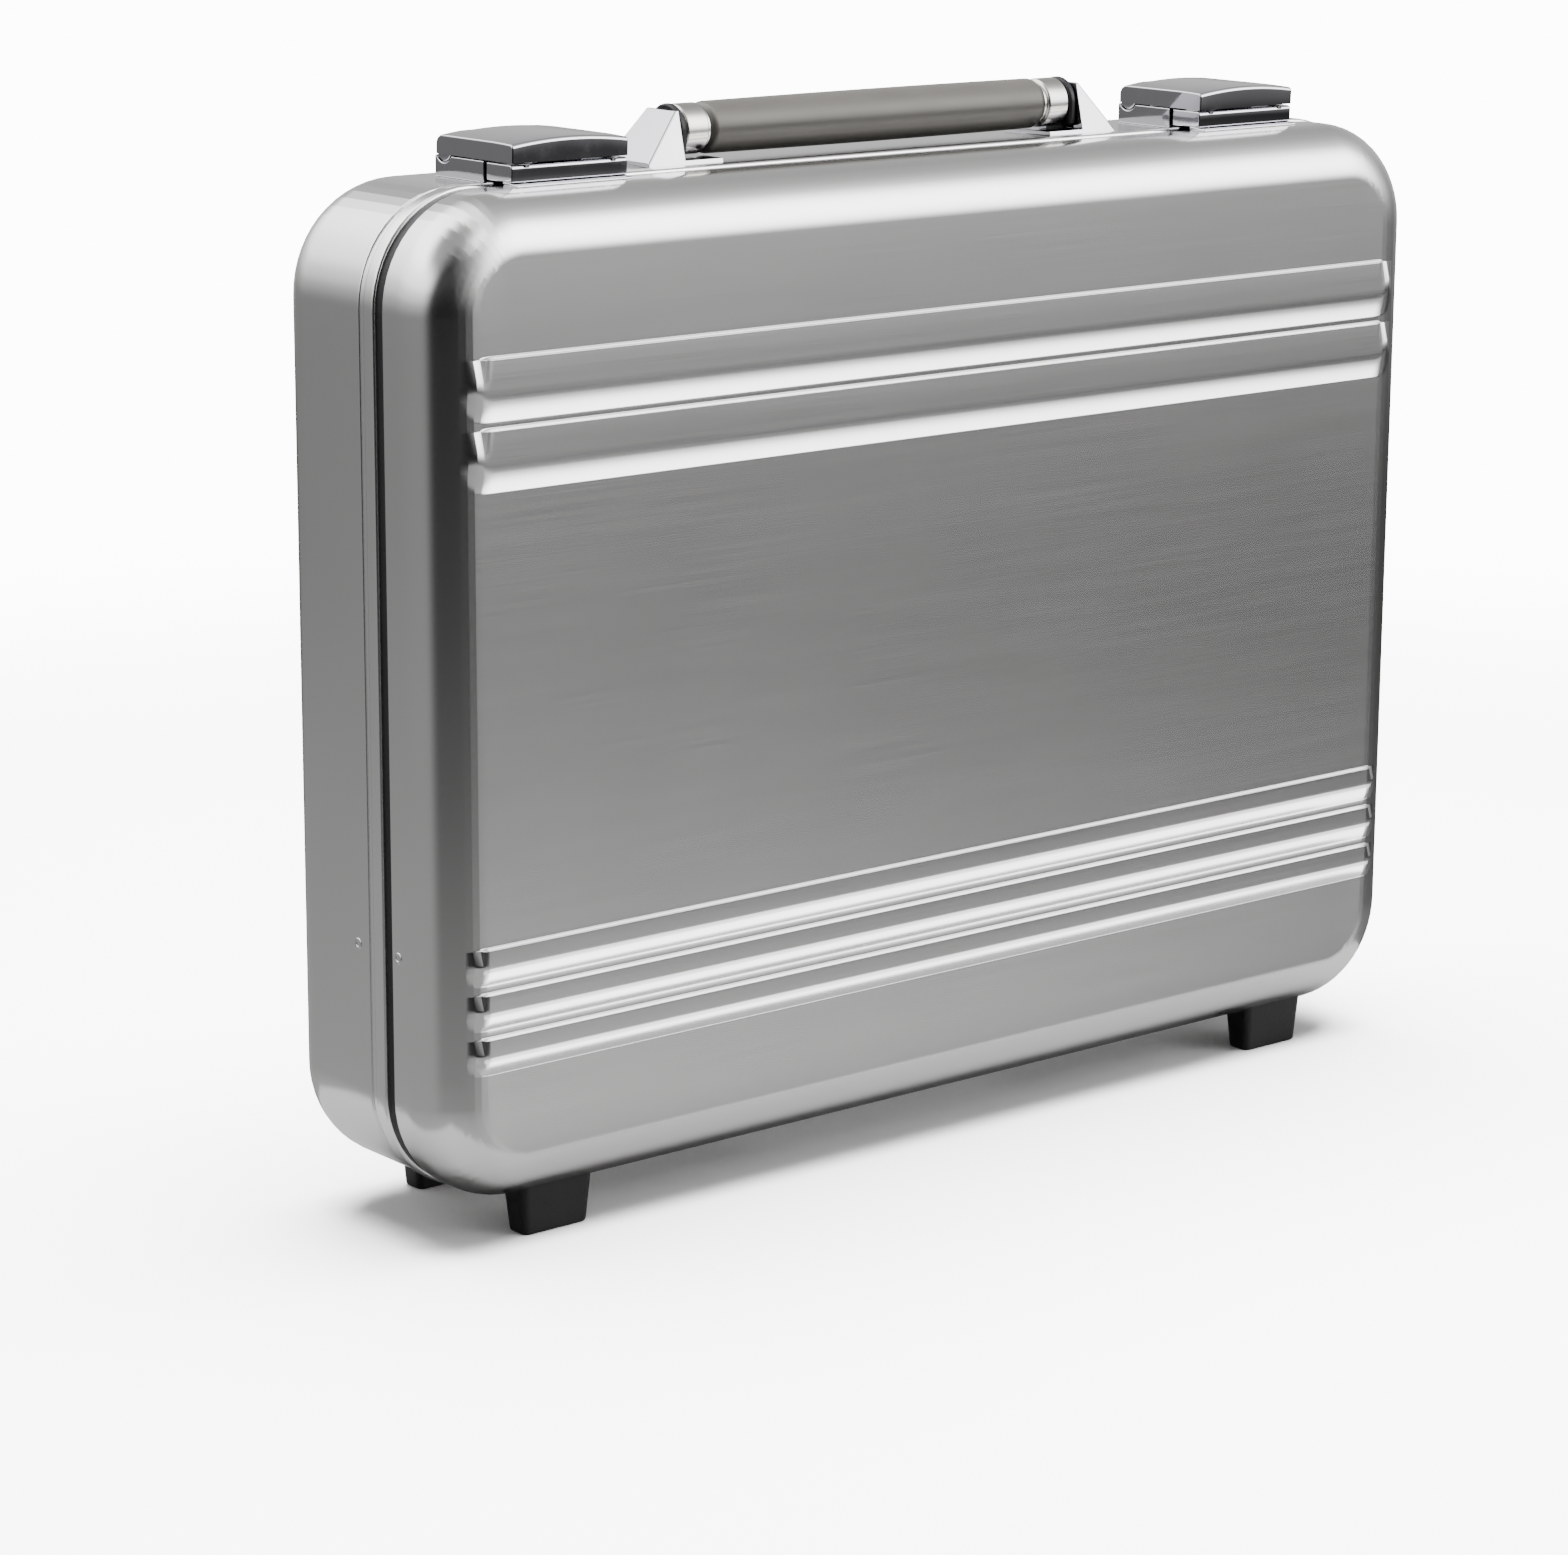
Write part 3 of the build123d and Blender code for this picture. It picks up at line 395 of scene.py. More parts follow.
def woven(name, base):
    """Lining cloth with a visible weave, slubs and a soft sheen."""
    made, tree, shader = new_material(name, Metallic=0.0, Sheen_Weight=0.35, Sheen_Roughness=0.5)
    effect = place_group(tree, weave_group(), Threads=2600.0)
    weave = remap(tree, effect.outputs["Weave"], -1.0, 1.0, 0.70, 1.15)
    slub = remap(tree, effect.outputs["Slub"], 0.3, 0.7, 0.82, 1.12)
    tint = shade(tree, base, maths(tree, "MULTIPLY", weave, slub))
    roughness = remap(tree, effect.outputs["Slub"], 0.3, 0.7, 0.72, 0.9)
    wire(tree, shader, tint, roughness, effect.outputs["Weave"], 0.35, 0.0002)
    return made


def leather(name, base):
    """Grained leather with shine on the high grain and dull creases."""
    made, tree, shader = new_material(name, Metallic=0.0)
    effect = place_group(tree, grain_group(), Size=620.0, Dust=26.0)
    tone = remap(tree, effect.outputs["Grain"], 0.0, 0.6, 1.25, 0.7)
    age = remap(tree, effect.outputs["Dust"], 0.3, 0.7, 0.85, 1.15)
    tint = shade(tree, base, maths(tree, "MULTIPLY", tone, age))
    roughness = remap(tree, effect.outputs["Grain"], 0.0, 0.6, 0.36, 0.62)
    wire(tree, shader, tint, roughness, effect.outputs["Grain"], 0.45, 0.0004)
    return made


BRUSHED_FINISHES = {
    # roughness, its spread, streak depth, streak height, streak length
    "sheet": (0.18, 0.02, 0.02, 0.004, 14.0),
    "bright": (0.17, 0.03, 0.03, 0.015, 14.0),
    "steel": (0.28, 0.12, 0.16, 0.2, 60.0),
    "ferrule": (0.22, 0.05, 0.06, 0.03, 2400.0),
}


def brushed(label, base, key):
    """One of the brushed metals by its key."""
    return brushed_metal(label, base, *BRUSHED_FINISHES[key])


MATERIAL_MAKERS = {
    "sheet": lambda s: brushed("Satin aluminium sheet", s.shell.aluminium, "sheet"),
    "bright": lambda s: brushed("Bright frame", s.shell.bright_aluminium, "bright"),
    "chrome": lambda s: chrome_metal("Polished chrome", s.hardware.chrome),
    "steel": lambda s: brushed("Zinc steel", s.hardware.steel, "steel"),
    "ferrule": lambda s: brushed("Turned ferrule", s.hardware.ferrule, "ferrule"),
    "grip": lambda s: grip_finish("Grip coating", s.hardware.grip),
    "black": lambda s: moulded("Black moulding", s.hardware.black, 0.30, 1500.0, 0.12),
    "rubber": lambda s: moulded("Rubber", s.hardware.rubber, 0.42, 1100.0, 0.30, 0.5),
    "cloth": lambda s: woven("Lining cloth", s.interior.cloth),
    "leather": lambda s: leather("Pocket leather", s.interior.leather),
}


class Settings:
    """The four property groups of a scene in one place."""

    def __init__(self, context):
        self.shell = context.scene.attache_shell
        self.hardware = context.scene.attache_hardware
        self.interior = context.scene.attache_interior
        self.stage = context.scene.attache_stage


def material(context, key):
    """A named finish, made the first time that it is asked for."""
    label = f"attache_{key}"
    if label not in bpy.data.materials:
        made = MATERIAL_MAKERS[key](Settings(context))
        made.name = label
    return bpy.data.materials[label]


# ---------------------------------------------------------------- mesh helpers


def box_bmesh(bm, low, high):
    """A box between two corners."""
    low, high = Vector(low), Vector(high)
    made = bmesh.ops.create_cube(bm, size=1.0)
    size = high - low
    place = Matrix.Translation((low + high) / 2) @ Matrix.Diagonal((*size, 1.0))
    bmesh.ops.transform(bm, matrix=place, verts=made["verts"])


def bevel(bm, edges, offset, segments, profile=0.5):
    """Rounds edges by an offset."""
    bmesh.ops.bevel(
        bm, geom=list(edges), offset=offset, offset_type="OFFSET", affect="EDGES",
        segments=segments, profile=profile, material=-1, clamp_overlap=True,
    )


def pull(bm, faces, move):
    """Extrudes faces and moves the new ones."""
    made = bmesh.ops.extrude_face_region(bm, geom=faces)
    verts = [part for part in made["geom"] if isinstance(part, bmesh.types.BMVert)]
    bmesh.ops.translate(bm, vec=move, verts=verts)


def fresh_edges(bm, old_verts):
    """The edges that were made after a set of vertices was noted."""
    return [e for e in bm.edges if e.verts[0] not in old_verts]


def edges_along(edges, axis):
    """The edges that run along one axis."""
    chosen = []
    for edge in edges:
        run = (edge.verts[1].co - edge.verts[0].co).normalized()
        if abs(run[axis]) > 0.999:
            chosen.append(edge)
    return chosen


def edges_on_plane(edges, axis, value, slack=1e-5):
    """The edges whose two ends lie on an axis-aligned plane."""
    return [e for e in edges if all(abs(v.co[axis] - value) < slack for v in e.verts)]


def sharp_edges(edges, degrees=40.0):
    """The edges where two faces meet at more than an angle."""
    limit = math.radians(degrees)
    return [e for e in edges if len(e.link_faces) == 2 and e.calc_face_angle(0.0) > limit]


def slice_at(bm, axis, values):
    """Cuts the whole mesh by planes across one axis."""
    normal = Vector((0, 0, 0))
    normal[axis] = 1.0
    for value in values:
        place = Vector((0, 0, 0))
        place[axis] = value
        everything = bm.verts[:] + bm.edges[:] + bm.faces[:]
        bmesh.ops.bisect_plane(bm, geom=everything, dist=1e-6, plane_co=place, plane_no=normal)


def lathe_x(bm, profile, steps, y, z):
    """A closed turned shape about an axis along X, from points of (x, radius)."""
    verts = [bm.verts.new((x, y, z + radius)) for x, radius in profile]
    edges = [bm.edges.new(pair) for pair in zip(verts, verts[1:])]
    bmesh.ops.spin(
        bm, geom=verts + edges, cent=(0, y, z), axis=(1, 0, 0), angle=math.tau,
        steps=steps, use_merge=True,
    )


def arc_points(centre, radius, start, end, steps):
    """Points in a plane along an arc, by angle in degrees."""
    points = []
    for i in range(steps + 1):
        angle = math.radians(start + (end - start) * i / steps)
        points.append((centre[0] + radius * math.cos(angle), centre[1] + radius * math.sin(angle)))
    return points


def mesh_object(context, name, bm, finish):
    """A bmesh as an object in the scene, with its material."""
    mesh = bpy.data.meshes.new(name)
    bm.to_mesh(mesh)
    bm.free()
    mesh.materials.append(finish)
    made = bpy.data.objects.new(name, mesh)
    context.collection.objects.link(made)
    return made


def finish_piece(context, name, bm, key, body, replaced, merge=1e-6):
    """Turns a bmesh into a smooth object on its body, with its finish and the nodes it stands for."""
    if merge:
        bmesh.ops.remove_doubles(bm, verts=bm.verts[:], dist=merge)
    bmesh.ops.recalc_face_normals(bm, faces=bm.faces[:])
    piece = mesh_object(context, name, bm, material(context, key))
    piece.data.shade_smooth()
    piece.data.set_sharp_from_angle(angle=math.radians(48.0))
    weighted = piece.modifiers.new("Even shading", "WEIGHTED_NORMAL")
    weighted.keep_sharp = True
    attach(piece, body)
    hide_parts(*replaced)
    return piece


def dress_node(context, name, key):
    """Gives a carried-over frame node its finish."""
    node = frame["nodes"][name]
    node.data.materials.clear()
    node.data.materials.append(material(context, key))


def axis_of(name):
    """Depth and height of the axis of a node that lies along X."""
    low, high = node_box(name)
    return (low.y + high.y) / 2, (low.z + high.z) / 2


def body_of_node(name):
    """The body that a frame node rides on."""
    for body, members in frame["record"]["behaviour"]["bodies"].items():
        if name in members:
            return body
    raise ValueError(f"no body holds {name}")


# ---------------------------------------------------------------- shells


def rib_rows(shell):
    """Middle height, half width and half crest of every pressed rib."""
    rows = []
    for i in range(2):
        middle = CASE_TOP - shell.wide_rib_top_drop - i * shell.wide_rib_pitch
        rows.append((middle, shell.wide_rib_width / 2, shell.wide_rib_crest / 2))
    for i in range(3):
        middle = CASE_FLOOR + shell.narrow_rib_rise + i * shell.narrow_rib_pitch
        rows.append((middle, shell.narrow_rib_width / 2, shell.narrow_rib_crest / 2))
    return rows


def rib_height(shell, x, z):
    """How far the sheet stands out at a place on a broad face: steep above a rib, domed below it."""
    reach = CASE_WIDTH / 2 - shell.rib_end_inset
    rise = 0.0
    for middle, half, crest in rib_rows(shell):
        past_end = max(abs(x) - (reach - half), 0.0)
        away = math.hypot(past_end, z - middle)
        upper = (z - middle) / away if away > 0 else 0.0
        long_run = shell.rib_ease if upper > 0 else shell.rib_round
        run = (half - crest) * (1 + (long_run - 1) * abs(upper))
        share = min(max((half - away) / run, 0.0), 1.0)
        ease = share * share * (3 - 2 * share)
        dome = share * (2 - share)
        mix = max(-upper, 0.0)
        rise = max(rise, shell.rib_rise * (ease + (dome - ease) * mix))
    return rise


def rib_cuts(shell):
    """Heights and widths at which the sheet needs edges to carry the ribs."""
    heights = set()
    widths = set()
    reach = CASE_WIDTH / 2 - shell.rib_end_inset
    for middle, half, crest in rib_rows(shell):
        for share in (0.0, 0.05, 0.12, 0.27, 0.42, 0.58, 0.73, 0.88, 1.0):
            for sign, long_run in ((-1, shell.rib_round), (1, shell.rib_ease)):
                run = (half - crest) * long_run
                heights.add(round(middle + sign * (half - run * share), 6))
        for share in (-0.55, 0.0, 0.55):
            heights.add(round(middle + share * crest, 6))
    for i in range(15):
        step = reach - 0.0012 * i + 0.0006
        widths.update((round(step, 6), round(-step, 6)))
    return sorted(heights), sorted(widths)


def rounded_tray(shell, open_y, face_y, inset, corner_steps, edge_steps, lip=0.0):
    """The outer skin of a tray: open at the seam, rounded at the broad face."""
    bm = bmesh.new()
    half = CASE_WIDTH / 2 - inset
    low = (-half, min(open_y, face_y), CASE_FLOOR + inset)
    high = (half, max(open_y, face_y), CASE_TOP - inset)
    box_bmesh(bm, low, high)
    bevel(bm, edges_along(bm.edges, 1), shell.corner_radius - inset, corner_steps)
    bevel(bm, edges_on_plane(bm.edges, 1, face_y), shell.edge_radius - inset, edge_steps)
    if lip:
        bevel(bm, edges_on_plane(bm.edges, 1, open_y), lip, 3)
    seam = [f for f in bm.faces if abs(f.calc_center_median().y - open_y) < 1e-6]
    bmesh.ops.delete(bm, geom=seam, context="FACES")
    return bm


def thicken(bm, wall):
    """Gives an open skin an even wall towards its inside."""
    bmesh.ops.recalc_face_normals(bm, faces=bm.faces[:])
    bmesh.ops.solidify(bm, geom=bm.faces[:], thickness=wall)


def shell_half(context, name, low, high, facing):
    """A drawn shell half with its pressed ribs."""
    shell = context.scene.attache_shell
    face_y = high.y - shell.rib_rise if facing > 0 else low.y + shell.rib_rise
    open_y = low.y if facing > 0 else high.y
    bm = rounded_tray(shell, open_y, face_y, 0.0, 14, 12, lip=0.0007)
    heights, widths = rib_cuts(shell)
    slice_at(bm, 2, heights)
    slice_at(bm, 0, widths)
    deep = face_y - facing * 0.006
    for vert in bm.verts:
        if (vert.co.y - deep) * facing > 0:
            vert.co.y += facing * rib_height(shell, vert.co.x, vert.co.z)
    thicken(bm, shell.wall)
    return finish_piece(context, name, bm, "sheet", body_of_node(name), [name])


def band(bm, shell, outer, inner, y0, y1, edge):
    """A closed band round the case between two insets, with rounded rims."""
    half = CASE_WIDTH / 2 - outer
    start = set(bm.verts)
    box_bmesh(bm, (-half, y0, CASE_FLOOR + outer), (half, y1, CASE_TOP - outer))
    bevel(bm, edges_along(fresh_edges(bm, start), 1), shell.corner_radius - outer, 14)
    faces = [f for f in bm.faces if f.verts[0] not in start]
    ends = [f for f in faces if abs(abs(f.normal.y) - 1) < 1e-3]
    bmesh.ops.delete(bm, geom=ends, context="FACES")
    skin = [f for f in bm.faces if f.verts[0] not in start]
    bmesh.ops.recalc_face_normals(bm, faces=skin)
    bmesh.ops.solidify(bm, geom=skin, thickness=inner - outer)
    if edge:
        bevel(bm, sharp_edges(fresh_edges(bm, start), 60.0), edge, 3)


BEAD_EDGE = 0.0011
GROOVE_DEPTH = 0.0006
GROOVE_LAP = 0.0004
SHELL_LAP = 0.0006
FLANGE_GAP = 0.00002
FLANGE_EDGE = 0.0003


def build_base_frame(context):
    """The base frame: a rounded bead, a groove beside it, and the flange inside the shell."""
    shell = context.scene.attache_shell
    low, high = node_box("base_frame")
    proud = BASE_LOW.x - low.x
    bead_end = low.y + shell.bead_width
    flange = shell.wall * 2
    bm = bmesh.new()
    band(bm, shell, -proud, flange, low.y, bead_end, BEAD_EDGE)
    band(bm, shell, GROOVE_DEPTH, flange, bead_end - GROOVE_LAP, BASE_LOW.y + SHELL_LAP, 0.0)
    band(bm, shell, shell.wall + FLANGE_GAP, flange, BASE_LOW.y, high.y, FLANGE_EDGE)
    return finish_piece(
        context, "base_frame_strip", bm, "bright", "base", ["base_frame"], 0,
    )


# ---------------------------------------------------------------- feet


def edge_drop(shell, y, facing):
    """How far the rounded edge has risen above the case's bottom at a depth."""
    face = BASE_HIGH.y - shell.rib_rise if facing > 0 else LID_LOW.y + shell.rib_rise
    start = face - facing * shell.edge_radius
    past = max((y - start) * facing, 0.0)
    past = min(past, shell.edge_radius)
    return shell.edge_radius - math.sqrt(shell.edge_radius ** 2 - past ** 2)


FOOT_TAPER = 0.0013
FOOT_EDGE = 0.0011
FOOT_RIM = 0.0015
FOOT_BORE = 0.0038
FOOT_LAP = 0.0004
NEAR = 1e-5


def build_foot(context, owner, name):
    """A tapered rubber block with rounded corners and a recess for its screw."""
    shell = context.scene.attache_shell
    hardware = context.scene.attache_hardware
    node = f"{owner}_foot_{name}"
    low, high = node_box(node)
    facing = 1 if owner == "base" else -1
    bm = bmesh.new()
    box_bmesh(bm, low, (high.x, high.y, CASE_FLOOR))
    middle = (low + high) / 2
    for vert in bm.verts:
        if vert.co.z < CASE_FLOOR - 0.001:
            vert.co.x -= math.copysign(FOOT_TAPER, vert.co.x - middle.x)
            vert.co.y -= math.copysign(FOOT_TAPER, vert.co.y - middle.y)
    slopes = [e for e in bm.edges if abs(e.verts[0].co.z - e.verts[1].co.z) > 0.001]
    bevel(bm, slopes, hardware.foot_round, 5)
    bottom = [f for f in bm.faces if f.calc_center_median().z < low.z + NEAR]
    bevel(bm, {e for f in bottom for e in f.edges}, FOOT_EDGE, 3)
    bottom = [f for f in bm.faces if f.calc_center_median().z < low.z + NEAR]
    bmesh.ops.inset_region(bm, faces=bottom, thickness=FOOT_RIM)
    for vert in bottom[0].verts:
        out = Vector((vert.co.x - middle.x, vert.co.y - middle.y, 0)).normalized()
        vert.co.x = middle.x + out.x * FOOT_BORE
        vert.co.y = middle.y + out.y * FOOT_BORE
    pull(bm, bottom, (0, 0, (CASE_FLOOR - low.z) / 2))
    bmesh.ops.delete(bm, geom=bottom, context="FACES_ONLY")
    for vert in bm.verts:
        if vert.co.z > CASE_FLOOR - NEAR:
            vert.co.z += edge_drop(shell, vert.co.y, facing) + FOOT_LAP
    return finish_piece(context, f"{node}_block", bm, "rubber", owner, [node])


# ---------------------------------------------------------------- latches


FRONT_LEAN = 0.045
RIM_GAP = 0.0006
EAR_ROOM = 0.0060
FRONT_DIP = 0.0004
FRONT_DIP_RATE = 3.2
REAR_ROUND = 0.0034
LEVER_WALL = 0.0014
TURN_RADIUS = 0.0046
TURN_RADIUS_MORE = 0.0016
UPRIGHT_FROM = 68.0
UPRIGHT_SPAN = 22.0
SKIRT_TURN = 62
BARREL_OUTER_GAP = 0.0002
BARREL_INNER_GAP = 0.0058
PIN_BORE = 0.0011
BARREL_SHOULDER = 0.0040
BARREL_RADIUS = 0.0043
BARREL_CHAMFER = 0.0003


def barrel_profile(x0, x1):
    """A bored barrel with chamfered ends, as points of (x, radius)."""
    return [
        (x0, PIN_BORE),
        (x0, BARREL_SHOULDER),
        (x0 + BARREL_CHAMFER, BARREL_RADIUS),
        (x1 - BARREL_CHAMFER, BARREL_RADIUS),
        (x1, BARREL_SHOULDER),
        (x1, PIN_BORE),
        (x0, PIN_BORE),
    ]


def lean_front(bm, low_y, top):
    """Leans the front face back a little towards its foot."""
    for vert in bm.verts:
        if vert.co.y < low_y + 1e-6:
            vert.co.y += (top - vert.co.z) * FRONT_LEAN


def build_lever(context, name):
    """The crowned cover lever: hollow below, with a barrel at each rear corner."""
    hardware = context.scene.attache_hardware
    low, high = node_box(f"latch_lever_{name}")
    catch_top = node_box(f"latch_catch_{name}")[1].z
    pin_y, pin_z = axis_of(f"latch_pin_{name}")
    rim = catch_top + RIM_GAP
    half = (high.x - low.x) / 2
    room = half - EAR_ROOM
    middle_x = (low.x + high.x) / 2
    bm = bmesh.new()
    box_bmesh(bm, (low.x, low.y, rim), high)
    slice_at(bm, 0, [middle_x - room, middle_x + room])
    slice_at(bm, 0, [middle_x + half * (i - 6) / 6 for i in range(1, 12)])
    slice_at(bm, 1, [low.y + (high.y - low.y) * i / 8 for i in range(1, 8)])
    for vert in bm.verts:
        if vert.co.z > high.z - 1e-6:
            across = (vert.co.x - middle_x) / half
            along = (vert.co.y - low.y) / (high.y - low.y)
            fall = hardware.lever_crown * across * across
            fall += FRONT_DIP * max(0.0, 1 - along * FRONT_DIP_RATE) ** 2
            vert.co.z -= fall
        if vert.co.y < low.y + 1e-6:
            vert.co.y += (high.z - vert.co.z) * FRONT_LEAN
    under = [f for f in bm.faces if f.calc_center_median().z < rim + 1e-6]
    bmesh.ops.delete(bm, geom=under, context="FACES")
    rim_edges = [e for e in sharp_edges(bm.edges, 50) if min(v.co.z for v in e.verts) > rim + 0.001]
    rear_top = [e for e in rim_edges if min(v.co.y for v in e.verts) > high.y - 1e-6]
    front_top = [e for e in rim_edges if max(v.co.y for v in e.verts) < low.y + 0.0005]
    bevel(bm, rear_top, REAR_ROUND, 5)
    bevel(bm, [e for e in front_top if e.is_valid], hardware.front_round, 4)
    bevel(bm, sharp_edges(bm.edges, 50), hardware.latch_bevel * 0.6, 3)
    for vert in bm.verts:
        back, up = vert.co.y - pin_y, vert.co.z - pin_z
        turn = math.degrees(math.atan2(up, back))
        limit = TURN_RADIUS + TURN_RADIUS_MORE * max(turn - UPRIGHT_FROM, 0.0) / UPRIGHT_SPAN
        if back > 0 and math.hypot(back, up) > limit:
            shrink = limit / math.hypot(back, up)
            vert.co.y = pin_y + back * shrink
            vert.co.z = pin_z + up * shrink
    skirt = []
    for face in bm.faces:
        place = face.calc_center_median()
        turn = math.degrees(math.atan2(place.z - pin_z, place.y - pin_y))
        if abs(place.x - middle_x) < room and place.y > pin_y and turn < SKIRT_TURN:
            skirt.append(face)
    bmesh.ops.delete(bm, geom=skirt, context="FACES")
    thicken(bm, LEVER_WALL)
    for sign in (-1, 1):
        outer = middle_x + sign * (half - BARREL_OUTER_GAP)
        inner = middle_x + sign * (half - BARREL_INNER_GAP)
        profile = barrel_profile(min(outer, inner), max(outer, inner))
        lathe_x(bm, profile, 28, pin_y, pin_z)
    return finish_piece(
        context, f"latch_cover_{name}", bm, "chrome", f"latch_lever_{name}",
        [f"latch_lever_{name}"],
    )


CATCH_LIFT = 0.0012
SLOT_GAP = 0.0014
CLAW_DEPTH = 0.0026
SLOT_WALL = 0.001
SLOT_DEEPER = 0.0008
LIP_HEIGHT = 0.0015
LIP_REACH = 0.0028
LIP_SEAM_GAP = 0.0003
LIP_FALL = 0.0008
LIP_EDGE = 0.0003


def build_catch(context, name):
    """The keeper on the lid, with a thin lip at its foot and a slot for the claw."""
    hardware = context.scene.attache_hardware
    low, high = node_box(f"latch_catch_{name}")
    hook_low, hook_high = node_box(f"latch_hook_{name}")
    bm = bmesh.new()
    box_bmesh(bm, (low.x, low.y, CASE_TOP + CATCH_LIFT), high)
    slot_x = (hook_low.x - SLOT_GAP, hook_high.x + SLOT_GAP)
    slot_end = min(hook_low.y + CLAW_DEPTH + SLOT_GAP, high.y - SLOT_WALL)
    slot_y = (hook_low.y - SLOT_GAP, slot_end)
    slice_at(bm, 0, slot_x)
    slice_at(bm, 1, slot_y)
    pocket = []
    for face in bm.faces:
        place = face.calc_center_median()
        inside_x = slot_x[0] < place.x < slot_x[1]
        inside_y = slot_y[0] < place.y < slot_y[1]
        if face.normal.z > 0.9 and inside_x and inside_y:
            pocket.append(face)
    front_top = edges_on_plane(edges_on_plane(bm.edges, 1, low.y), 2, high.z)
    lean_front(bm, low.y, high.z)
    bevel(bm, front_top, hardware.front_round, 4)
    bevel(bm, sharp_edges(bm.edges, 50), hardware.latch_bevel * 0.5, 2)
    pocket = [f for f in pocket if f.is_valid]
    if pocket:
        pull(bm, pocket, (0, 0, -(high.z - hook_low.z) - SLOT_DEEPER))
        bmesh.ops.delete(bm, geom=[f for f in pocket if f.is_valid], context="FACES_ONLY")
    start = set(bm.verts)
    lip_top = CASE_TOP + LIP_HEIGHT
    lip_low = (low.x, low.y - LIP_REACH, CASE_TOP)
    box_bmesh(bm, lip_low, (high.x, LID_HIGH.y - LIP_SEAM_GAP, lip_top))
    for vert in bm.verts:
        if vert not in start and vert.co.y < low.y - 0.001 and vert.co.z > lip_top - NEAR:
            vert.co.z -= LIP_FALL
    bevel(bm, fresh_edges(bm, start), LIP_EDGE, 2)
    return finish_piece(
        context, f"latch_keeper_{name}", bm, "chrome", "lid", [f"latch_catch_{name}"],
    )


TROUGH_ABOVE = 0.0002
TROUGH_RADIUS = 0.0048
TROUGH_STEPS = 10
EAR_INSET = 0.0064
EAR_WIDTH = 0.003
EAR_HALF_DEPTH = 0.0024
EAR_DROP = 0.0056
EAR_RISE = 0.0024
EAR_ROUND = 0.0023


def build_latch_body(context, name):
    """The fixed rear block with its trough for the lever's barrel and its two ears."""
    hardware = context.scene.attache_hardware
    low, high = node_box(f"latch_body_{name}")
    y, z = axis_of(f"latch_pin_{name}")
    top = node_box(f"latch_catch_{name}")[1].z + TROUGH_ABOVE
    bm = bmesh.new()
    profile = [(low.y, low.z), (high.y, low.z), (high.y, top)]
    reach = math.sqrt(TROUGH_RADIUS ** 2 - (z - top) ** 2)
    start = math.degrees(math.atan2(top - z, reach))
    profile += arc_points((y, z), TROUGH_RADIUS, start, -180 - start, TROUGH_STEPS)
    profile.append((low.y, top))
    verts = [bm.verts.new((low.x, py, pz)) for py, pz in profile]
    pull(bm, [bm.faces.new(verts)], (high.x - low.x, 0, 0))
    bmesh.ops.recalc_face_normals(bm, faces=bm.faces[:])
    bevel(bm, sharp_edges(bm.edges, 50), hardware.latch_bevel * 0.6, 2)
    middle_x = (low.x + high.x) / 2
    ear_outer = (high.x - low.x) / 2 - EAR_INSET
    for sign in (-1, 1):
        edge_a = middle_x + sign * ear_outer
        edge_b = middle_x + sign * (ear_outer - EAR_WIDTH)
        x0, x1 = min(edge_a, edge_b), max(edge_a, edge_b)
        old = set(bm.verts)
        ear_low = (x0, y - EAR_HALF_DEPTH, z - EAR_DROP)
        box_bmesh(bm, ear_low, (x1, y + EAR_HALF_DEPTH, z + EAR_RISE))
        tops = [e for e in edges_along(fresh_edges(bm, old), 0) if e.verts[0].co.z > z]
        bevel(bm, tops, EAR_ROUND, 6)
    return finish_piece(
        context, f"latch_block_{name}", bm, "chrome", "base", [f"latch_body_{name}"],
    )


# ---------------------------------------------------------------- handle


CORE_RADIUS = 0.0042
GRIP_CORNER = 0.0030


def build_grip(context):
    """The grip: a slightly swelled sleeve with rounded ends."""
    hardware = context.scene.attache_hardware
    low, high = node_box("handle_grip")
    y, z = axis_of("handle_grip")
    radius = (high.z - low.z) / 2 - hardware.grip_swell
    swell = hardware.grip_swell
    corner = GRIP_CORNER
    left = arc_points((low.x + corner, radius - corner), corner, 180, 90, 7)
    right = arc_points((high.x - corner, radius - corner), corner, 90, 0, 7)
    body = []
    for i in range(1, 16):
        share = i / 16
        x = low.x + corner + (high.x - low.x - 2 * corner) * share
        body.append((x, radius + swell * math.sin(math.pi * share)))
    profile = [(low.x, CORE_RADIUS)] + left + body + right + [(high.x, CORE_RADIUS)]
    bm = bmesh.new()
    lathe_x(bm, profile, 72, y, z)
    return finish_piece(context, "handle_sleeve", bm, "grip", "handle", ["handle_grip"])


# Along from the end, and down from the full radius.
FERRULE_INNER = [(0.0, 0.0012), (0.0009, 0.0012), (0.0013, 0.0004), (0.0019, 0.0)]
FERRULE_OUTER = [(0.0013, 0.0), (0.0007, 0.0003), (0.0002, 0.0010), (0.0, 0.0018)]


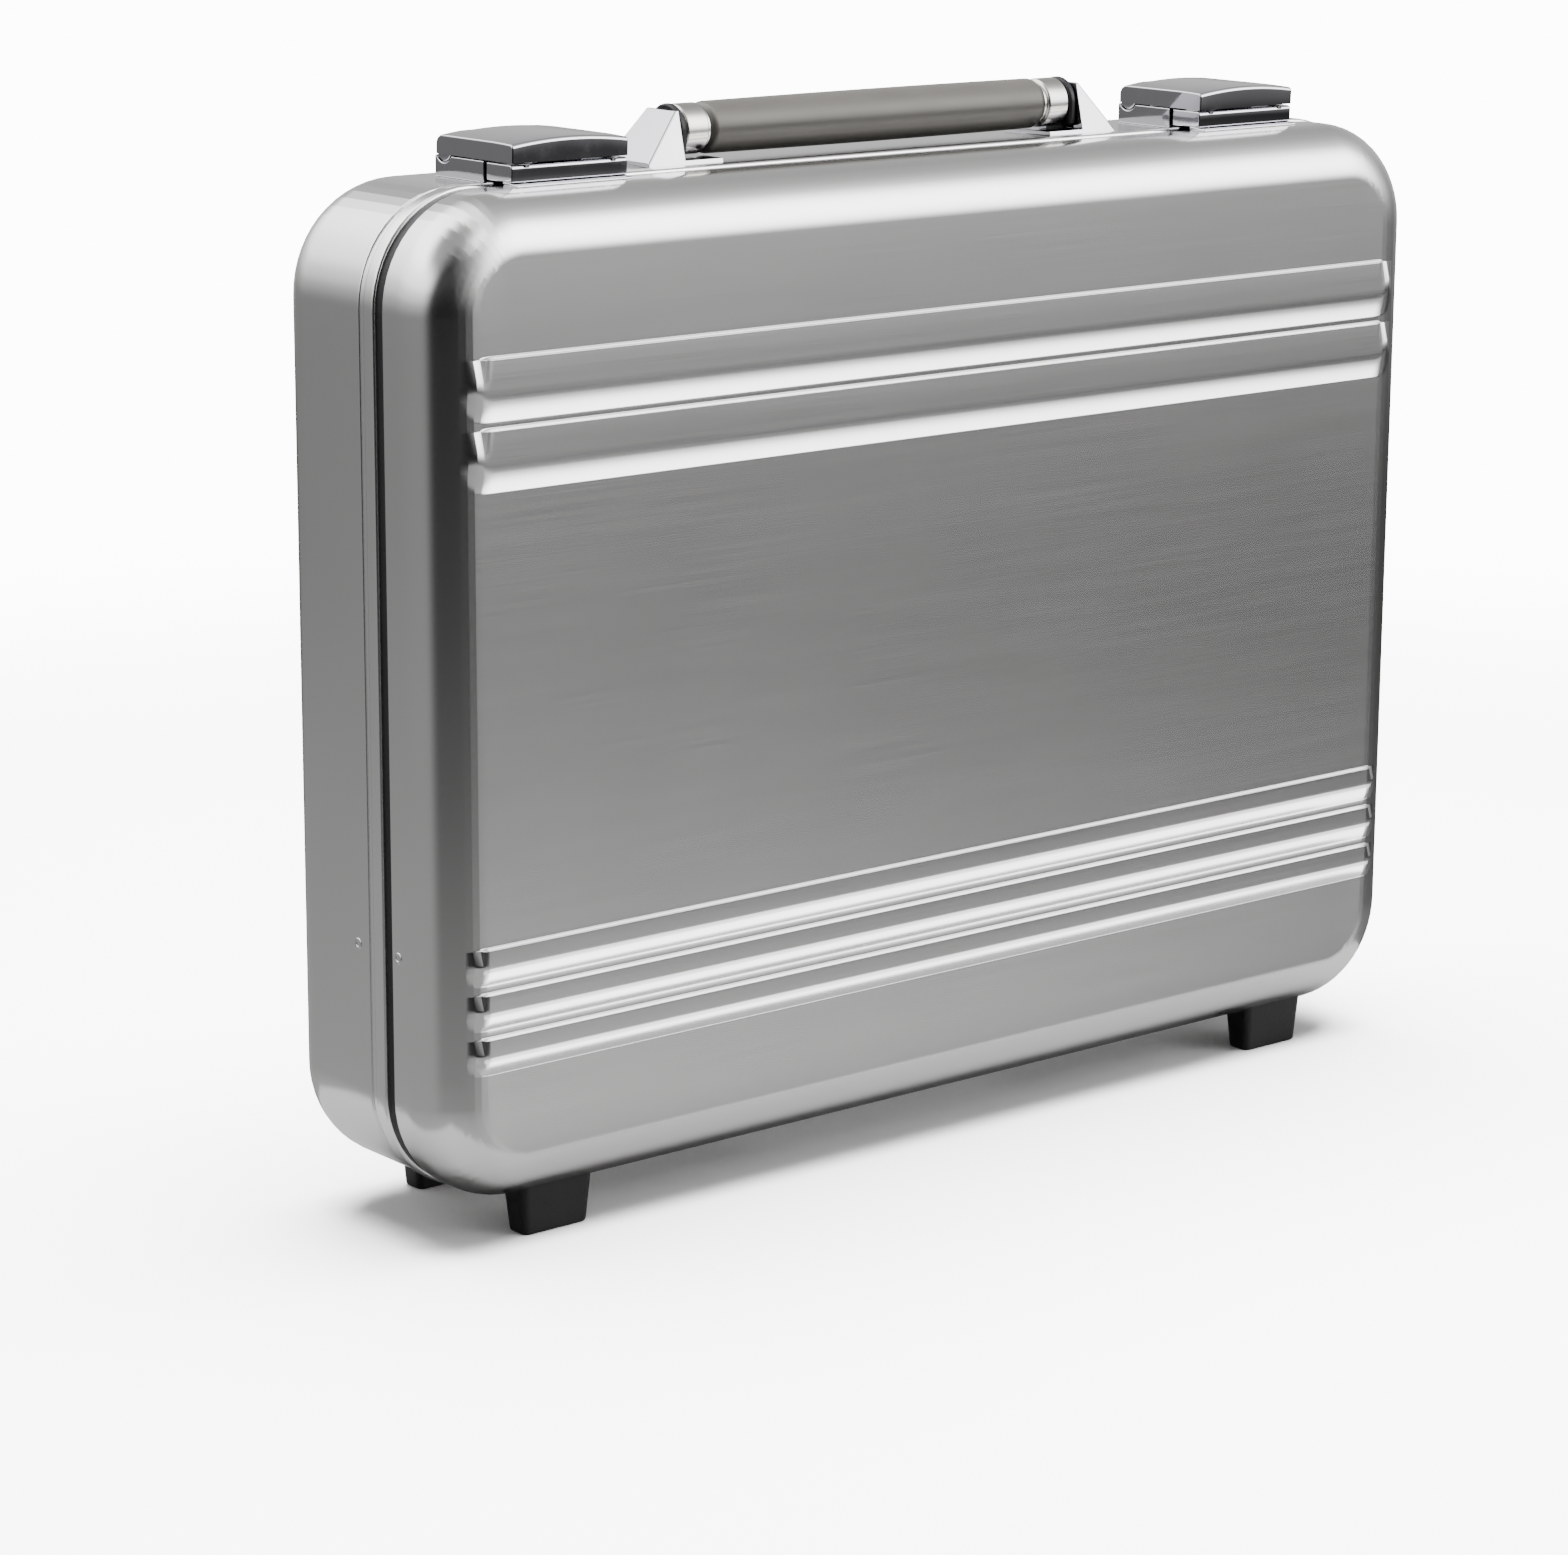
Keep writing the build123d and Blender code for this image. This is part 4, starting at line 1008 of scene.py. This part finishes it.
def build_ferrule(context, name, side):
    """A turned ferrule with a shallow groove beside the grip."""
    low, high = node_box(f"handle_ferrule_{name}")
    y, z = axis_of("handle_grip")
    radius = (high.z - low.z) / 2
    inner = high.x if side < 0 else low.x
    outer = low.x if side < 0 else high.x
    out = math.copysign(1.0, outer - inner)
    profile = [(inner, CORE_RADIUS)]
    profile += [(inner + out * along, radius - drop) for along, drop in FERRULE_INNER]
    profile += [(outer - out * along, radius - drop) for along, drop in FERRULE_OUTER]
    profile.append((outer, CORE_RADIUS))
    bm = bmesh.new()
    lathe_x(bm, profile, 72, y, z)
    node = f"handle_ferrule_{name}"
    return finish_piece(context, f"{node}_cup", bm, "ferrule", "handle", [node])


SHOULDER_GAP = 0.0024
SHOULDER_POWER = 7.0
LINK_EDGE = 0.0009
TONGUE_HALF = 0.0011
TONGUE_LAP = 0.0006
TONGUE_HALF_DEPTH = 0.0045
STOP_HALF_DEPTH = 0.0065
STOP_HEIGHT = 0.003
TONGUE_EDGE = 0.0003


def build_link(context, name):
    """A dark end plate with a round head, square shoulders and a tongue into the case."""
    node = f"handle_link_{name}"
    low, high = node_box(node)
    y, z = axis_of("handle_grip")
    radius = high.z - z
    shoulder = CASE_TOP + SHOULDER_GAP
    drop = z - shoulder
    bm = bmesh.new()
    made = bmesh.ops.create_circle(bm, cap_ends=True, radius=1.0, segments=72)
    power = SHOULDER_POWER
    for vert in made["verts"]:
        c, s = vert.co.x, vert.co.y
        reach = radius
        if s < 0:
            reach = (abs(c / radius) ** power + abs(s / drop) ** power) ** (-1 / power)
        vert.co = Vector((low.x, y + c * reach, z + s * reach))
    pull(bm, bm.faces[:], (high.x - low.x, 0, 0))
    bmesh.ops.recalc_face_normals(bm, faces=bm.faces[:])
    bevel(bm, sharp_edges(bm.edges, 60), LINK_EDGE, 3)
    middle_x = (low.x + high.x) / 2
    start = set(bm.verts)
    tongue = (TONGUE_HALF_DEPTH, shoulder + TONGUE_LAP)
    stop = (STOP_HALF_DEPTH, low.z + STOP_HEIGHT)
    for half_depth, top in (tongue, stop):
        corner = (middle_x - TONGUE_HALF, y - half_depth, low.z)
        box_bmesh(bm, corner, (middle_x + TONGUE_HALF, y + half_depth, top))
    bevel(bm, fresh_edges(bm, start), TONGUE_EDGE, 2)
    return finish_piece(context, f"{node}_plate", bm, "black", "handle", [node])


TOE_PLATE = 0.0016
TOE_LENGTH = 0.0162
CREST_WIDTH = 0.0016
WEDGE_TAPER = 0.0043
SLOPE_EDGE = 0.0011
WEDGE_EDGE = 0.00035


def build_bracket(context, name, side):
    """A polished wedge on a flat toe that reaches inwards under the ferrule."""
    node = f"handle_bracket_{name}"
    low, high = node_box(node)
    plate = TOE_PLATE
    toe = high.x if side < 0 else low.x
    outer = low.x if side < 0 else high.x
    out = math.copysign(1.0, outer - toe)
    face_x = toe + out * TOE_LENGTH
    apex_x = face_x + out * CREST_WIDTH
    points = [(toe, low.z), (outer, low.z), (outer, low.z + plate), (apex_x, high.z)]
    points += [(face_x, high.z), (face_x, low.z + plate), (toe, low.z + plate)]
    bm = bmesh.new()
    verts = [bm.verts.new((x, low.y, z)) for x, z in points]
    pull(bm, [bm.faces.new(verts)], (0, high.y - low.y, 0))
    middle_y = (low.y + high.y) / 2
    for vert in bm.verts:
        lean = WEDGE_TAPER * (vert.co.z - low.z) / (high.z - low.z)
        vert.co.y += math.copysign(lean, middle_y - vert.co.y)
    bmesh.ops.recalc_face_normals(bm, faces=bm.faces[:])
    slope = []
    for edge in bm.edges:
        a, b = edge.verts
        if abs(a.co.z - b.co.z) > 0.01 and abs(a.co.x - b.co.x) > 0.004:
            slope.append(edge)
    bevel(bm, slope, SLOPE_EDGE, 2)
    bevel(bm, sharp_edges(bm.edges, 30), WEDGE_EDGE, 2)
    return finish_piece(context, f"{node}_wedge", bm, "chrome", "base", [node])


# ---------------------------------------------------------------- rivets and hinges


RIVET_STEP = 0.0001
# Steps out from the wall or from the inner end, and the radius there.
RIVET_HEAD = [
    (-30, 0.0), (-30, 0.0009), (1, 0.00105), (2.6, 0.00125), (3.2, 0.00150), (2.4, 0.0018),
    (0.5, 0.00195), (-1, 0.0019), (-1, 0.00124),
]
RIVET_TAIL = [(10, 0.00124), (10, 0.0020), (0, 0.0018), (0, 0.0)]


def build_pivot_rivet(context, owner, name, side):
    """A hollow rivet through the side wall: a low rolled rim round a dark bore."""
    node = f"stay_{owner}_rivet_{name}"
    low, high = node_box(node)
    y, z = axis_of(node)
    wall = side * CASE_WIDTH / 2
    inner = high.x if side < 0 else low.x
    step = side * RIVET_STEP
    profile = [(wall + step * out, radius) for out, radius in RIVET_HEAD]
    profile += [(inner + step * out, radius) for out, radius in RIVET_TAIL]
    bm = bmesh.new()
    lathe_x(bm, profile, 32, y, z)
    return finish_piece(context, f"{node}_tube", bm, "steel", owner, [node])


# ---------------------------------------------------------------- linings and pocket


LINING_THICK = 0.003
CELL = 0.0055
FLAT_BORDER = 0.020
BORDER_FADE = 0.01
CREASE = 0.0002


def quilt_offset(interior, x, z):
    """How far a quilted panel pulls in at a place: deepest along crossed stitch lines."""
    pitch = interior.quilt_pitch
    a = (x + z) / pitch
    b = (x - z) / pitch
    line_a = abs(a - round(a))
    line_b = abs(b - round(b))
    nearest = min(line_a, line_b) * 2
    return interior.quilt_depth * (1 - min(nearest / 0.55, 1.0)) ** 1.6


def build_lining(context, owner, facing):
    """A padded tray lining with quilted stitching on its broad panel."""
    shell = context.scene.attache_shell
    interior = context.scene.attache_interior
    node = f"{owner}_lining"
    low, high = node_box(node)
    inset = low.x - BASE_LOW.x
    face_y = high.y if facing > 0 else low.y
    open_y = low.y if facing > 0 else high.y
    bm = rounded_tray(shell, open_y, face_y, inset, 10, 6)
    count_x = int(CASE_WIDTH / CELL)
    count_z = int(CASE_HEIGHT / CELL)
    slice_at(bm, 0, [-CASE_WIDTH / 2 + CASE_WIDTH * i / count_x for i in range(1, count_x)])
    slice_at(bm, 2, [CASE_FLOOR + CASE_HEIGHT * i / count_z for i in range(1, count_z)])
    thicken(bm, LINING_THICK)
    inner_y = face_y - facing * LINING_THICK
    half = CASE_WIDTH / 2 - inset
    for vert in bm.verts:
        if abs(vert.co.y - inner_y) < 0.0004:
            border = min(half - abs(vert.co.x), vert.co.z - low.z, high.z - vert.co.z)
            rim = border - FLAT_BORDER
            if rim < 0:
                continue
            inwards = quilt_offset(interior, vert.co.x, vert.co.z)
            vert.co.y += facing * inwards * min(rim / BORDER_FADE, 1.0)
            vert.co.y += facing * CREASE * noise.noise(vert.co * 40.0)
    piece = finish_piece(context, f"{node}_quilt", bm, "cloth", owner, [node])
    return piece


POCKET_CORNER = 0.013
POCKET_EDGE = 0.0009
SEAM_INSET = 0.006
SEAM_REACH = 0.0025
SEAM_DEPTH = 0.0004


def build_pocket(context):
    """The document pocket: a padded leather panel with a lower front sleeve and bound edges."""
    interior = context.scene.attache_interior
    low, high = node_box("document_pocket")
    back_y = low.y
    thick = high.y - low.y
    bm = bmesh.new()
    tiers = [(low.z, high.z, 0.0, 0.42), (low.z, low.z + (high.z - low.z) * 0.62, 0.45, 0.52)]
    for z0, z1, start_share, depth_share in tiers:
        made = set(bm.verts)
        y0 = back_y + thick * start_share
        y1 = y0 + thick * depth_share
        box_bmesh(bm, (low.x, y0, z0), (high.x, y1, z1))
        bevel(bm, edges_along(fresh_edges(bm, made), 1), POCKET_CORNER, 8)
        bevel(bm, edges_on_plane(fresh_edges(bm, made), 1, y1), POCKET_EDGE, 2)
    xs = [low.x + (high.x - low.x) * i / 66 for i in range(1, 66)]
    zs = [low.z + (high.z - low.z) * i / 38 for i in range(1, 38)]
    slice_at(bm, 0, xs)
    slice_at(bm, 2, zs)
    random.seed(11)
    shift = Vector((random.uniform(0, 9), random.uniform(0, 9), random.uniform(0, 9)))
    for vert in bm.verts:
        if vert.co.y < back_y + thick * 0.30:
            continue
        across = 1 - (abs(vert.co.x) / high.x) ** 4
        top = tiers[1][1] if vert.co.y > back_y + thick * 0.6 else high.z
        upright = 1 - abs(2 * (vert.co.z - low.z) / (top - low.z) - 1) ** 4
        puff = max(across, 0) * max(upright, 0)
        wave = noise.noise(vert.co * 16.0 + shift) * 0.0006
        vert.co.y += puff * (interior.pocket_puff * 0.35 + wave)
        side_seam = abs(abs(vert.co.x) - (high.x - SEAM_INSET))
        seam = min(side_seam, abs(vert.co.z - (low.z + SEAM_INSET)))
        if seam < SEAM_REACH:
            vert.co.y -= SEAM_DEPTH * (1 - seam / SEAM_REACH)
    piece = finish_piece(
        context, "document_sleeve", bm, "leather", "lid", ["document_pocket"],
    )
    return piece


# ---------------------------------------------------------------- stage


# Brightness by the height of a direction, on the room's two sides.
ROOM_RIGHT = [
    (-1.00, 0.25), (-0.82, 0.22), (-0.73, 0.42), (-0.50, 0.50), (-0.31, 0.54), (-0.27, 0.40),
    (-0.235, 0.19), (-0.20, 0.095), (-0.16, 0.075), (-0.135, 0.32), (-0.11, 0.60), (0.10, 0.75),
    (0.60, 0.50), (1.00, 0.50),
]
ROOM_LEFT = [
    (-1.00, 0.50), (-0.60, 0.50), (-0.45, 0.48), (-0.28, 0.38), (-0.18, 0.23), (-0.08, 0.25),
    (0.02, 0.50), (0.17, 1.2), (0.36, 2.6), (0.70, 4.5), (1.00, 4.0),
]
# Brightness by the cosine of the angle from a bright place's middle.
KEY_PLACE = (42.0, 24.0)
KEY_GLOW = [
    (0.40, 0.0), (0.63, 0.10), (0.72, 0.25), (0.79, 0.5), (0.857, 0.9), (0.914, 2.4),
    (0.966, 5.0), (0.985, 6.0), (1.00, 6.5),
]
FLOOR_GLOW_PLACE = (50.0, -38.0)
FLOOR_GLOW = [(0.94, 0.0), (0.972, 4.0), (0.99, 5.5), (1.00, 6.0)]
# Azimuth and elevation, the cosine at the edge and where it is deepest, and the depth.
BEHIND_CAMERA = (-25.0, 2.0, 0.56, 0.83, 0.98)
DARK_PLACES = [
    (-54.6, 56.0, 0.80, 0.96, 0.90),
    (75.0, -8.0, 0.74, 0.97, 0.65),
    (132.0, -32.0, 0.78, 0.95, 0.80),
]
ROOM_PEAK = 8.0
BACKDROP_STRENGTH = 15.0
FILL_SHARE = 0.15
FLOOR_TONE = 0.94
# Tone of a painted contact shadow: the dim card round the case that only reflections show.
PAINTED_SHADOW_TONE = 0.13
SHADE_REACH = 0.060
SHADE_TOP = -0.0005
SHADE_BOTTOM = -0.0010
OVERHEAD_PLACE = (0.15, 0.10, 1.75)
OVERHEAD_TARGET = (0, 0, 0.2)
OVERHEAD_SIZE = (1.9, 1.5)
OVERHEAD_POWER = 400.0


def room_ramp(tree, stops, height):
    """Brightness by the height of a direction, as a share of the room's peak."""
    ramp = tree.nodes.new("ShaderNodeValToRGB")
    ramp.color_ramp.interpolation = "EASE"
    while len(ramp.color_ramp.elements) < len(stops):
        ramp.color_ramp.elements.new(0.5)
    for element, (place, value) in zip(ramp.color_ramp.elements, stops):
        element.position = (place + 1) / 2
        shade_value = value / ROOM_PEAK
        element.color = (shade_value, shade_value, shade_value, 1)
    tree.links.new(height, ramp.inputs["Fac"])
    return ramp.outputs["Color"]


def nearness(tree, split, azimuth, elevation):
    """How closely a direction faces a place in the room, as a cosine."""
    a, e = math.radians(azimuth), math.radians(elevation)
    x = maths(tree, "MULTIPLY", split.outputs["X"], math.sin(a) * math.cos(e))
    y = maths(tree, "MULTIPLY_ADD", split.outputs["Y"], -math.cos(a) * math.cos(e), x)
    return maths(tree, "MULTIPLY_ADD", split.outputs["Z"], math.sin(e), y)


def dark_patch(tree, split, azimuth, elevation, edge, full, depth):
    """How much a dark place in the room hides, by the cosine at its edge and where it is deepest."""
    return remap(tree, nearness(tree, split, azimuth, elevation), edge, full, 0.0, depth)


def glow(tree, split, azimuth, elevation, stops):
    """A bright place in the room, by the cosine of the angle from its middle."""
    near = nearness(tree, split, azimuth, elevation)
    return room_ramp(tree, stops, maths(tree, "MULTIPLY_ADD", near, 0.5, 0.5))


def scaled(tree, colour_value, factor):
    """A colour times a number."""
    node = tree.nodes.new("ShaderNodeVectorMath")
    node.operation = "SCALE"
    tree.links.new(colour_value, node.inputs[0])
    tree.links.new(factor, node.inputs["Scale"])
    return node.outputs[0]


def added(tree, first, second):
    """The sum of two colours."""
    node = tree.nodes.new("ShaderNodeVectorMath")
    node.operation = "ADD"
    tree.links.new(first, node.inputs[0])
    tree.links.new(second, node.inputs[1])
    return node.outputs[0]


def world_shader(world, backdrop):
    """A plain backdrop for the camera, and a painted room for the metal and the soft fill."""
    world.use_nodes = True
    tree = world.node_tree
    tree.nodes.clear()
    coords = tree.nodes.new("ShaderNodeTexCoord")
    split = tree.nodes.new("ShaderNodeSeparateXYZ")
    tree.links.new(coords.outputs["Generated"], split.inputs[0])
    height = maths(tree, "MULTIPLY_ADD", split.outputs["Z"], 0.5, 0.5)
    right = room_ramp(tree, ROOM_RIGHT, height)
    left = room_ramp(tree, ROOM_LEFT, height)
    side = remap(tree, split.outputs["X"], -0.10, 0.35, 0.0, 1.0)
    both = tree.nodes.new("ShaderNodeMix")
    both.data_type = "RGBA"
    tree.links.new(side, both.inputs["Factor"])
    tree.links.new(left, both.inputs["A"])
    tree.links.new(right, both.inputs["B"])
    above_floor = remap(tree, split.outputs["Z"], -0.34, -0.22, 0.0, 1.0)
    behind = dark_patch(tree, split, *BEHIND_CAMERA)
    light = maths(tree, "SUBTRACT", 1.0, maths(tree, "MULTIPLY", behind, above_floor))
    for patch in DARK_PLACES:
        lit = maths(tree, "SUBTRACT", 1.0, dark_patch(tree, split, *patch))
        light = maths(tree, "MULTIPLY", light, lit)
    shaded = scaled(tree, both.outputs["Result"], light)
    key = glow(tree, split, *KEY_PLACE, KEY_GLOW)
    key = scaled(tree, key, remap(tree, split.outputs["Z"], -0.08, 0.06, 0.0, 1.0))
    shaded = added(tree, shaded, key)
    shaded = added(tree, shaded, glow(tree, split, *FLOOR_GLOW_PLACE, FLOOR_GLOW))
    surround = tree.nodes.new("ShaderNodeBackground")
    tree.links.new(shaded, surround.inputs["Color"])
    plain = tree.nodes.new("ShaderNodeBackground")
    plain.inputs["Color"].default_value = (*backdrop, 1.0)
    plain.inputs["Strength"].default_value = BACKDROP_STRENGTH
    seen = tree.nodes.new("ShaderNodeLightPath")
    diffuse = seen.outputs["Is Diffuse Ray"]
    fill = maths(tree, "MULTIPLY_ADD", diffuse, ROOM_PEAK * (FILL_SHARE - 1), ROOM_PEAK)
    tree.links.new(fill, surround.inputs["Strength"])
    mix = tree.nodes.new("ShaderNodeMixShader")
    tree.links.new(seen.outputs["Is Camera Ray"], mix.inputs[0])
    tree.links.new(surround.outputs[0], mix.inputs[1])
    tree.links.new(plain.outputs[0], mix.inputs[2])
    out = tree.nodes.new("ShaderNodeOutputWorld")
    tree.links.new(mix.outputs[0], out.inputs["Surface"])


def floor_material(radius):
    """A plain pale floor that fades out at its edge."""
    made, tree, shader = new_material("attache_floor", Roughness=0.9)
    shader.inputs["Specular IOR Level"].default_value = 0.1
    shader.inputs["Base Color"].default_value = (FLOOR_TONE, FLOOR_TONE, FLOOR_TONE, 1.0)
    coords = tree.nodes.new("ShaderNodeTexCoord")
    length = add_node(tree, "ShaderNodeVectorMath", operation="LENGTH")
    tree.links.new(coords.outputs["Object"], length.inputs[0])
    fade = remap(tree, length.outputs["Value"], radius * 0.45, radius * 0.98, 1.0, 0.0)
    tree.links.new(fade, shader.inputs["Alpha"])
    return made


def build_painted_shadow_card(context):
    """A dim card just under the floor, round the case, that only reflections show: a painted contact
    shadow of the floor beside the case.
    """
    bm = bmesh.new()
    low = (-CASE_WIDTH / 2 - SHADE_REACH, LID_LOW.y - SHADE_REACH, SHADE_BOTTOM)
    box_bmesh(bm, low, (CASE_WIDTH / 2 + SHADE_REACH, BASE_HIGH.y + SHADE_REACH, SHADE_TOP))
    finish, _, shader = new_material("attache_painted_shadow", Roughness=0.9)
    shader.inputs["Base Color"].default_value = (PAINTED_SHADOW_TONE, PAINTED_SHADOW_TONE, PAINTED_SHADOW_TONE, 1.0)
    # The card carries a painted contact shadow, seen only in reflections.
    card = mesh_object(context, "shade", bm, finish)
    card.visible_camera = False
    card.visible_diffuse = False
    card.visible_shadow = False


def build_floor(context):
    """The round floor, which gives way to the backdrop and stays out of reflections and shade."""
    bm = bmesh.new()
    radius = context.scene.attache_stage.floor_radius
    bmesh.ops.create_circle(bm, cap_ends=True, radius=radius, segments=96)
    floor = mesh_object(context, "floor", bm, floor_material(radius))
    floor.visible_glossy = False
    floor.visible_shadow = False
    floor.visible_diffuse = False


def build_overhead(context):
    """A soft box above the case that reflections don't show."""
    data = bpy.data.lights.new("overhead", "AREA")
    data.shape = "RECTANGLE"
    data.size, data.size_y = OVERHEAD_SIZE
    data.energy = OVERHEAD_POWER
    lamp = bpy.data.objects.new("overhead", data)
    lamp.location = OVERHEAD_PLACE
    direction = Vector(OVERHEAD_TARGET) - Vector(OVERHEAD_PLACE)
    lamp.rotation_mode = "QUATERNION"
    lamp.rotation_quaternion = direction.to_track_quat("-Z", "Y")
    context.collection.objects.link(lamp)
    lamp.visible_glossy = False


def build_camera(context):
    """The camera, turned about the case and a little about its own axis."""
    stage = context.scene.attache_stage
    data = bpy.data.cameras.new("Camera")
    data.sensor_width = 36.0
    data.lens = stage.lens
    data.clip_start = 0.05
    data.clip_end = 60.0
    camera = bpy.data.objects.new("Camera", data)
    a, e, r = stage.azimuth, stage.elevation, stage.roll
    back = Vector((math.sin(a) * math.cos(e), -math.cos(a) * math.cos(e), math.sin(e)))
    right = (-back).cross(Vector((0, 0, 1))).normalized()
    up = right.cross(-back)
    turned_right = right * math.cos(r) + up * math.sin(r)
    turned_up = up * math.cos(r) - right * math.sin(r)
    basis = Matrix((turned_right, turned_up, back)).transposed()
    camera.matrix_world = Matrix.Translation(stage.camera_place) @ basis.to_4x4()
    context.collection.objects.link(camera)
    context.scene.camera = camera


# ---------------------------------------------------------------- operators


class ATTACHE_OT_shells(bpy.types.Operator):
    """Build the lid shell and the base shell with their pressed ribs"""

    bl_idname = "attache.shells"
    bl_label = "Shells"

    def execute(self, context):
        shell_half(context, "base_shell", BASE_LOW, BASE_HIGH, 1).name = "base_skin"
        shell_half(context, "lid_shell", LID_LOW, LID_HIGH, -1).name = "lid_skin"
        return {"FINISHED"}


class ATTACHE_OT_frames(bpy.types.Operator):
    """Build the base frame's bead and dress the lid frame and the gasket"""

    bl_idname = "attache.frames"
    bl_label = "Frames and gasket"

    def execute(self, context):
        build_base_frame(context)
        dress_node(context, "lid_frame", "bright")
        dress_node(context, "seam_gasket", "rubber")
        return {"FINISHED"}


class ATTACHE_OT_feet(bpy.types.Operator):
    """Build the four rubber feet"""

    bl_idname = "attache.feet"
    bl_label = "Feet"

    def execute(self, context):
        for owner in ("base", "lid"):
            for name in SIDES:
                build_foot(context, owner, name)
            dress_node(context, f"{owner}_foot_screws", "steel")
        return {"FINISHED"}


class ATTACHE_OT_latches(bpy.types.Operator):
    """Build both latches: lever, keeper and block, and dress their small parts"""

    bl_idname = "attache.latches"
    bl_label = "Latches"

    def execute(self, context):
        for name in SIDES:
            build_lever(context, name)
            build_catch(context, name)
            build_latch_body(context, name)
            dress_node(context, f"latch_hook_{name}", "chrome")
            dress_node(context, f"latch_pin_{name}", "steel")
            dress_node(context, f"latch_spring_{name}", "steel")
        dress_node(context, "latch_body_rivets", "chrome")
        dress_node(context, "latch_catch_rivets", "chrome")
        return {"FINISHED"}


class ATTACHE_OT_handle(bpy.types.Operator):
    """Build the grip, ferrules, links and brackets, and dress what holds them"""

    bl_idname = "attache.handle"
    bl_label = "Handle"

    def execute(self, context):
        build_grip(context)
        for name, side in SIDES.items():
            build_ferrule(context, name, side)
            build_link(context, name)
            build_bracket(context, name, side)
            dress_node(context, f"handle_guide_{name}", "black")
        for node in ("handle_core_rod", "handle_link_screws", "handle_backing_plate"):
            dress_node(context, node, "steel")
        dress_node(context, "handle_bracket_rivets", "chrome")
        return {"FINISHED"}


class ATTACHE_OT_hinges(bpy.types.Operator):
    """Build the pivot rivets and dress the hinges and the lid stays"""

    bl_idname = "attache.hinges"
    bl_label = "Hinges and stays"

    def execute(self, context):
        for name, side in SIDES.items():
            for owner in ("base", "lid"):
                build_pivot_rivet(context, owner, name, side)
                dress_node(context, f"hinge_{owner}_leaf_{name}", "steel")
                dress_node(context, f"stay_{owner}_arm_{name}", "steel")
            dress_node(context, f"hinge_pin_{name}", "steel")
            dress_node(context, f"stay_knee_pin_{name}", "steel")
        dress_node(context, "hinge_base_rivets", "steel")
        dress_node(context, "hinge_lid_rivets", "steel")
        return {"FINISHED"}


class ATTACHE_OT_interior(bpy.types.Operator):
    """Build the quilted linings and the document pocket"""

    bl_idname = "attache.interior"
    bl_label = "Linings and pocket"

    def execute(self, context):
        build_lining(context, "base", 1)
        build_lining(context, "lid", -1)
        build_pocket(context)
        return {"FINISHED"}


class ATTACHE_OT_stage(bpy.types.Operator):
    """Build the floor, the painted shadow card that only reflections show, the soft light, the
    backdrop and the camera
    """

    bl_idname = "attache.stage"
    bl_label = "Stage"

    def execute(self, context):
        build_floor(context)
        # A painted contact shadow of the floor round the case, for reflections only.
        build_painted_shadow_card(context)
        world = bpy.data.worlds.new("Studio")
        context.scene.world = world
        world_shader(world, context.scene.attache_stage.backdrop)
        build_overhead(context)
        build_camera(context)
        return {"FINISHED"}


class ATTACHE_PT_panel(bpy.types.Panel):
    """The case's builders in the sidebar"""

    bl_idname = "ATTACHE_PT_panel"
    bl_label = "Attache case"
    bl_space_type = "VIEW_3D"
    bl_region_type = "UI"
    bl_category = "Attache"

    def draw(self, context):
        for operator in OPERATORS:
            self.layout.operator(operator.bl_idname)
        for key in SETTINGS:
            self.layout.label(text=key.replace("_", " ").capitalize())
            group = getattr(context.scene, key)
            for name in group.__annotations__:
                self.layout.prop(group, name)


OPERATORS = (
    ATTACHE_OT_shells,
    ATTACHE_OT_frames,
    ATTACHE_OT_feet,
    ATTACHE_OT_latches,
    ATTACHE_OT_handle,
    ATTACHE_OT_hinges,
    ATTACHE_OT_interior,
    ATTACHE_OT_stage,
)
SETTINGS = {
    "attache_shell": AttacheShellSettings,
    "attache_hardware": AttacheHardwareSettings,
    "attache_interior": AttacheInteriorSettings,
    "attache_stage": AttacheStageSettings,
}
CLASSES = (*SETTINGS.values(), *OPERATORS, ATTACHE_PT_panel)


def register():
    """Registers the classes and hangs the settings on the scene."""
    for cls in CLASSES:
        bpy.utils.register_class(cls)
    for key, cls in SETTINGS.items():
        setattr(bpy.types.Scene, key, PointerProperty(type=cls))


def unregister():
    """Takes the settings and the classes away again."""
    for key in SETTINGS:
        delattr(bpy.types.Scene, key)
    for cls in reversed(CLASSES):
        bpy.utils.unregister_class(cls)


def main():
    """Builds every piece in order."""
    register()
    for operator in OPERATORS:
        category, name = operator.bl_idname.split(".")
        getattr(getattr(bpy.ops, category), name)()


if __name__ == "__main__":
    main()
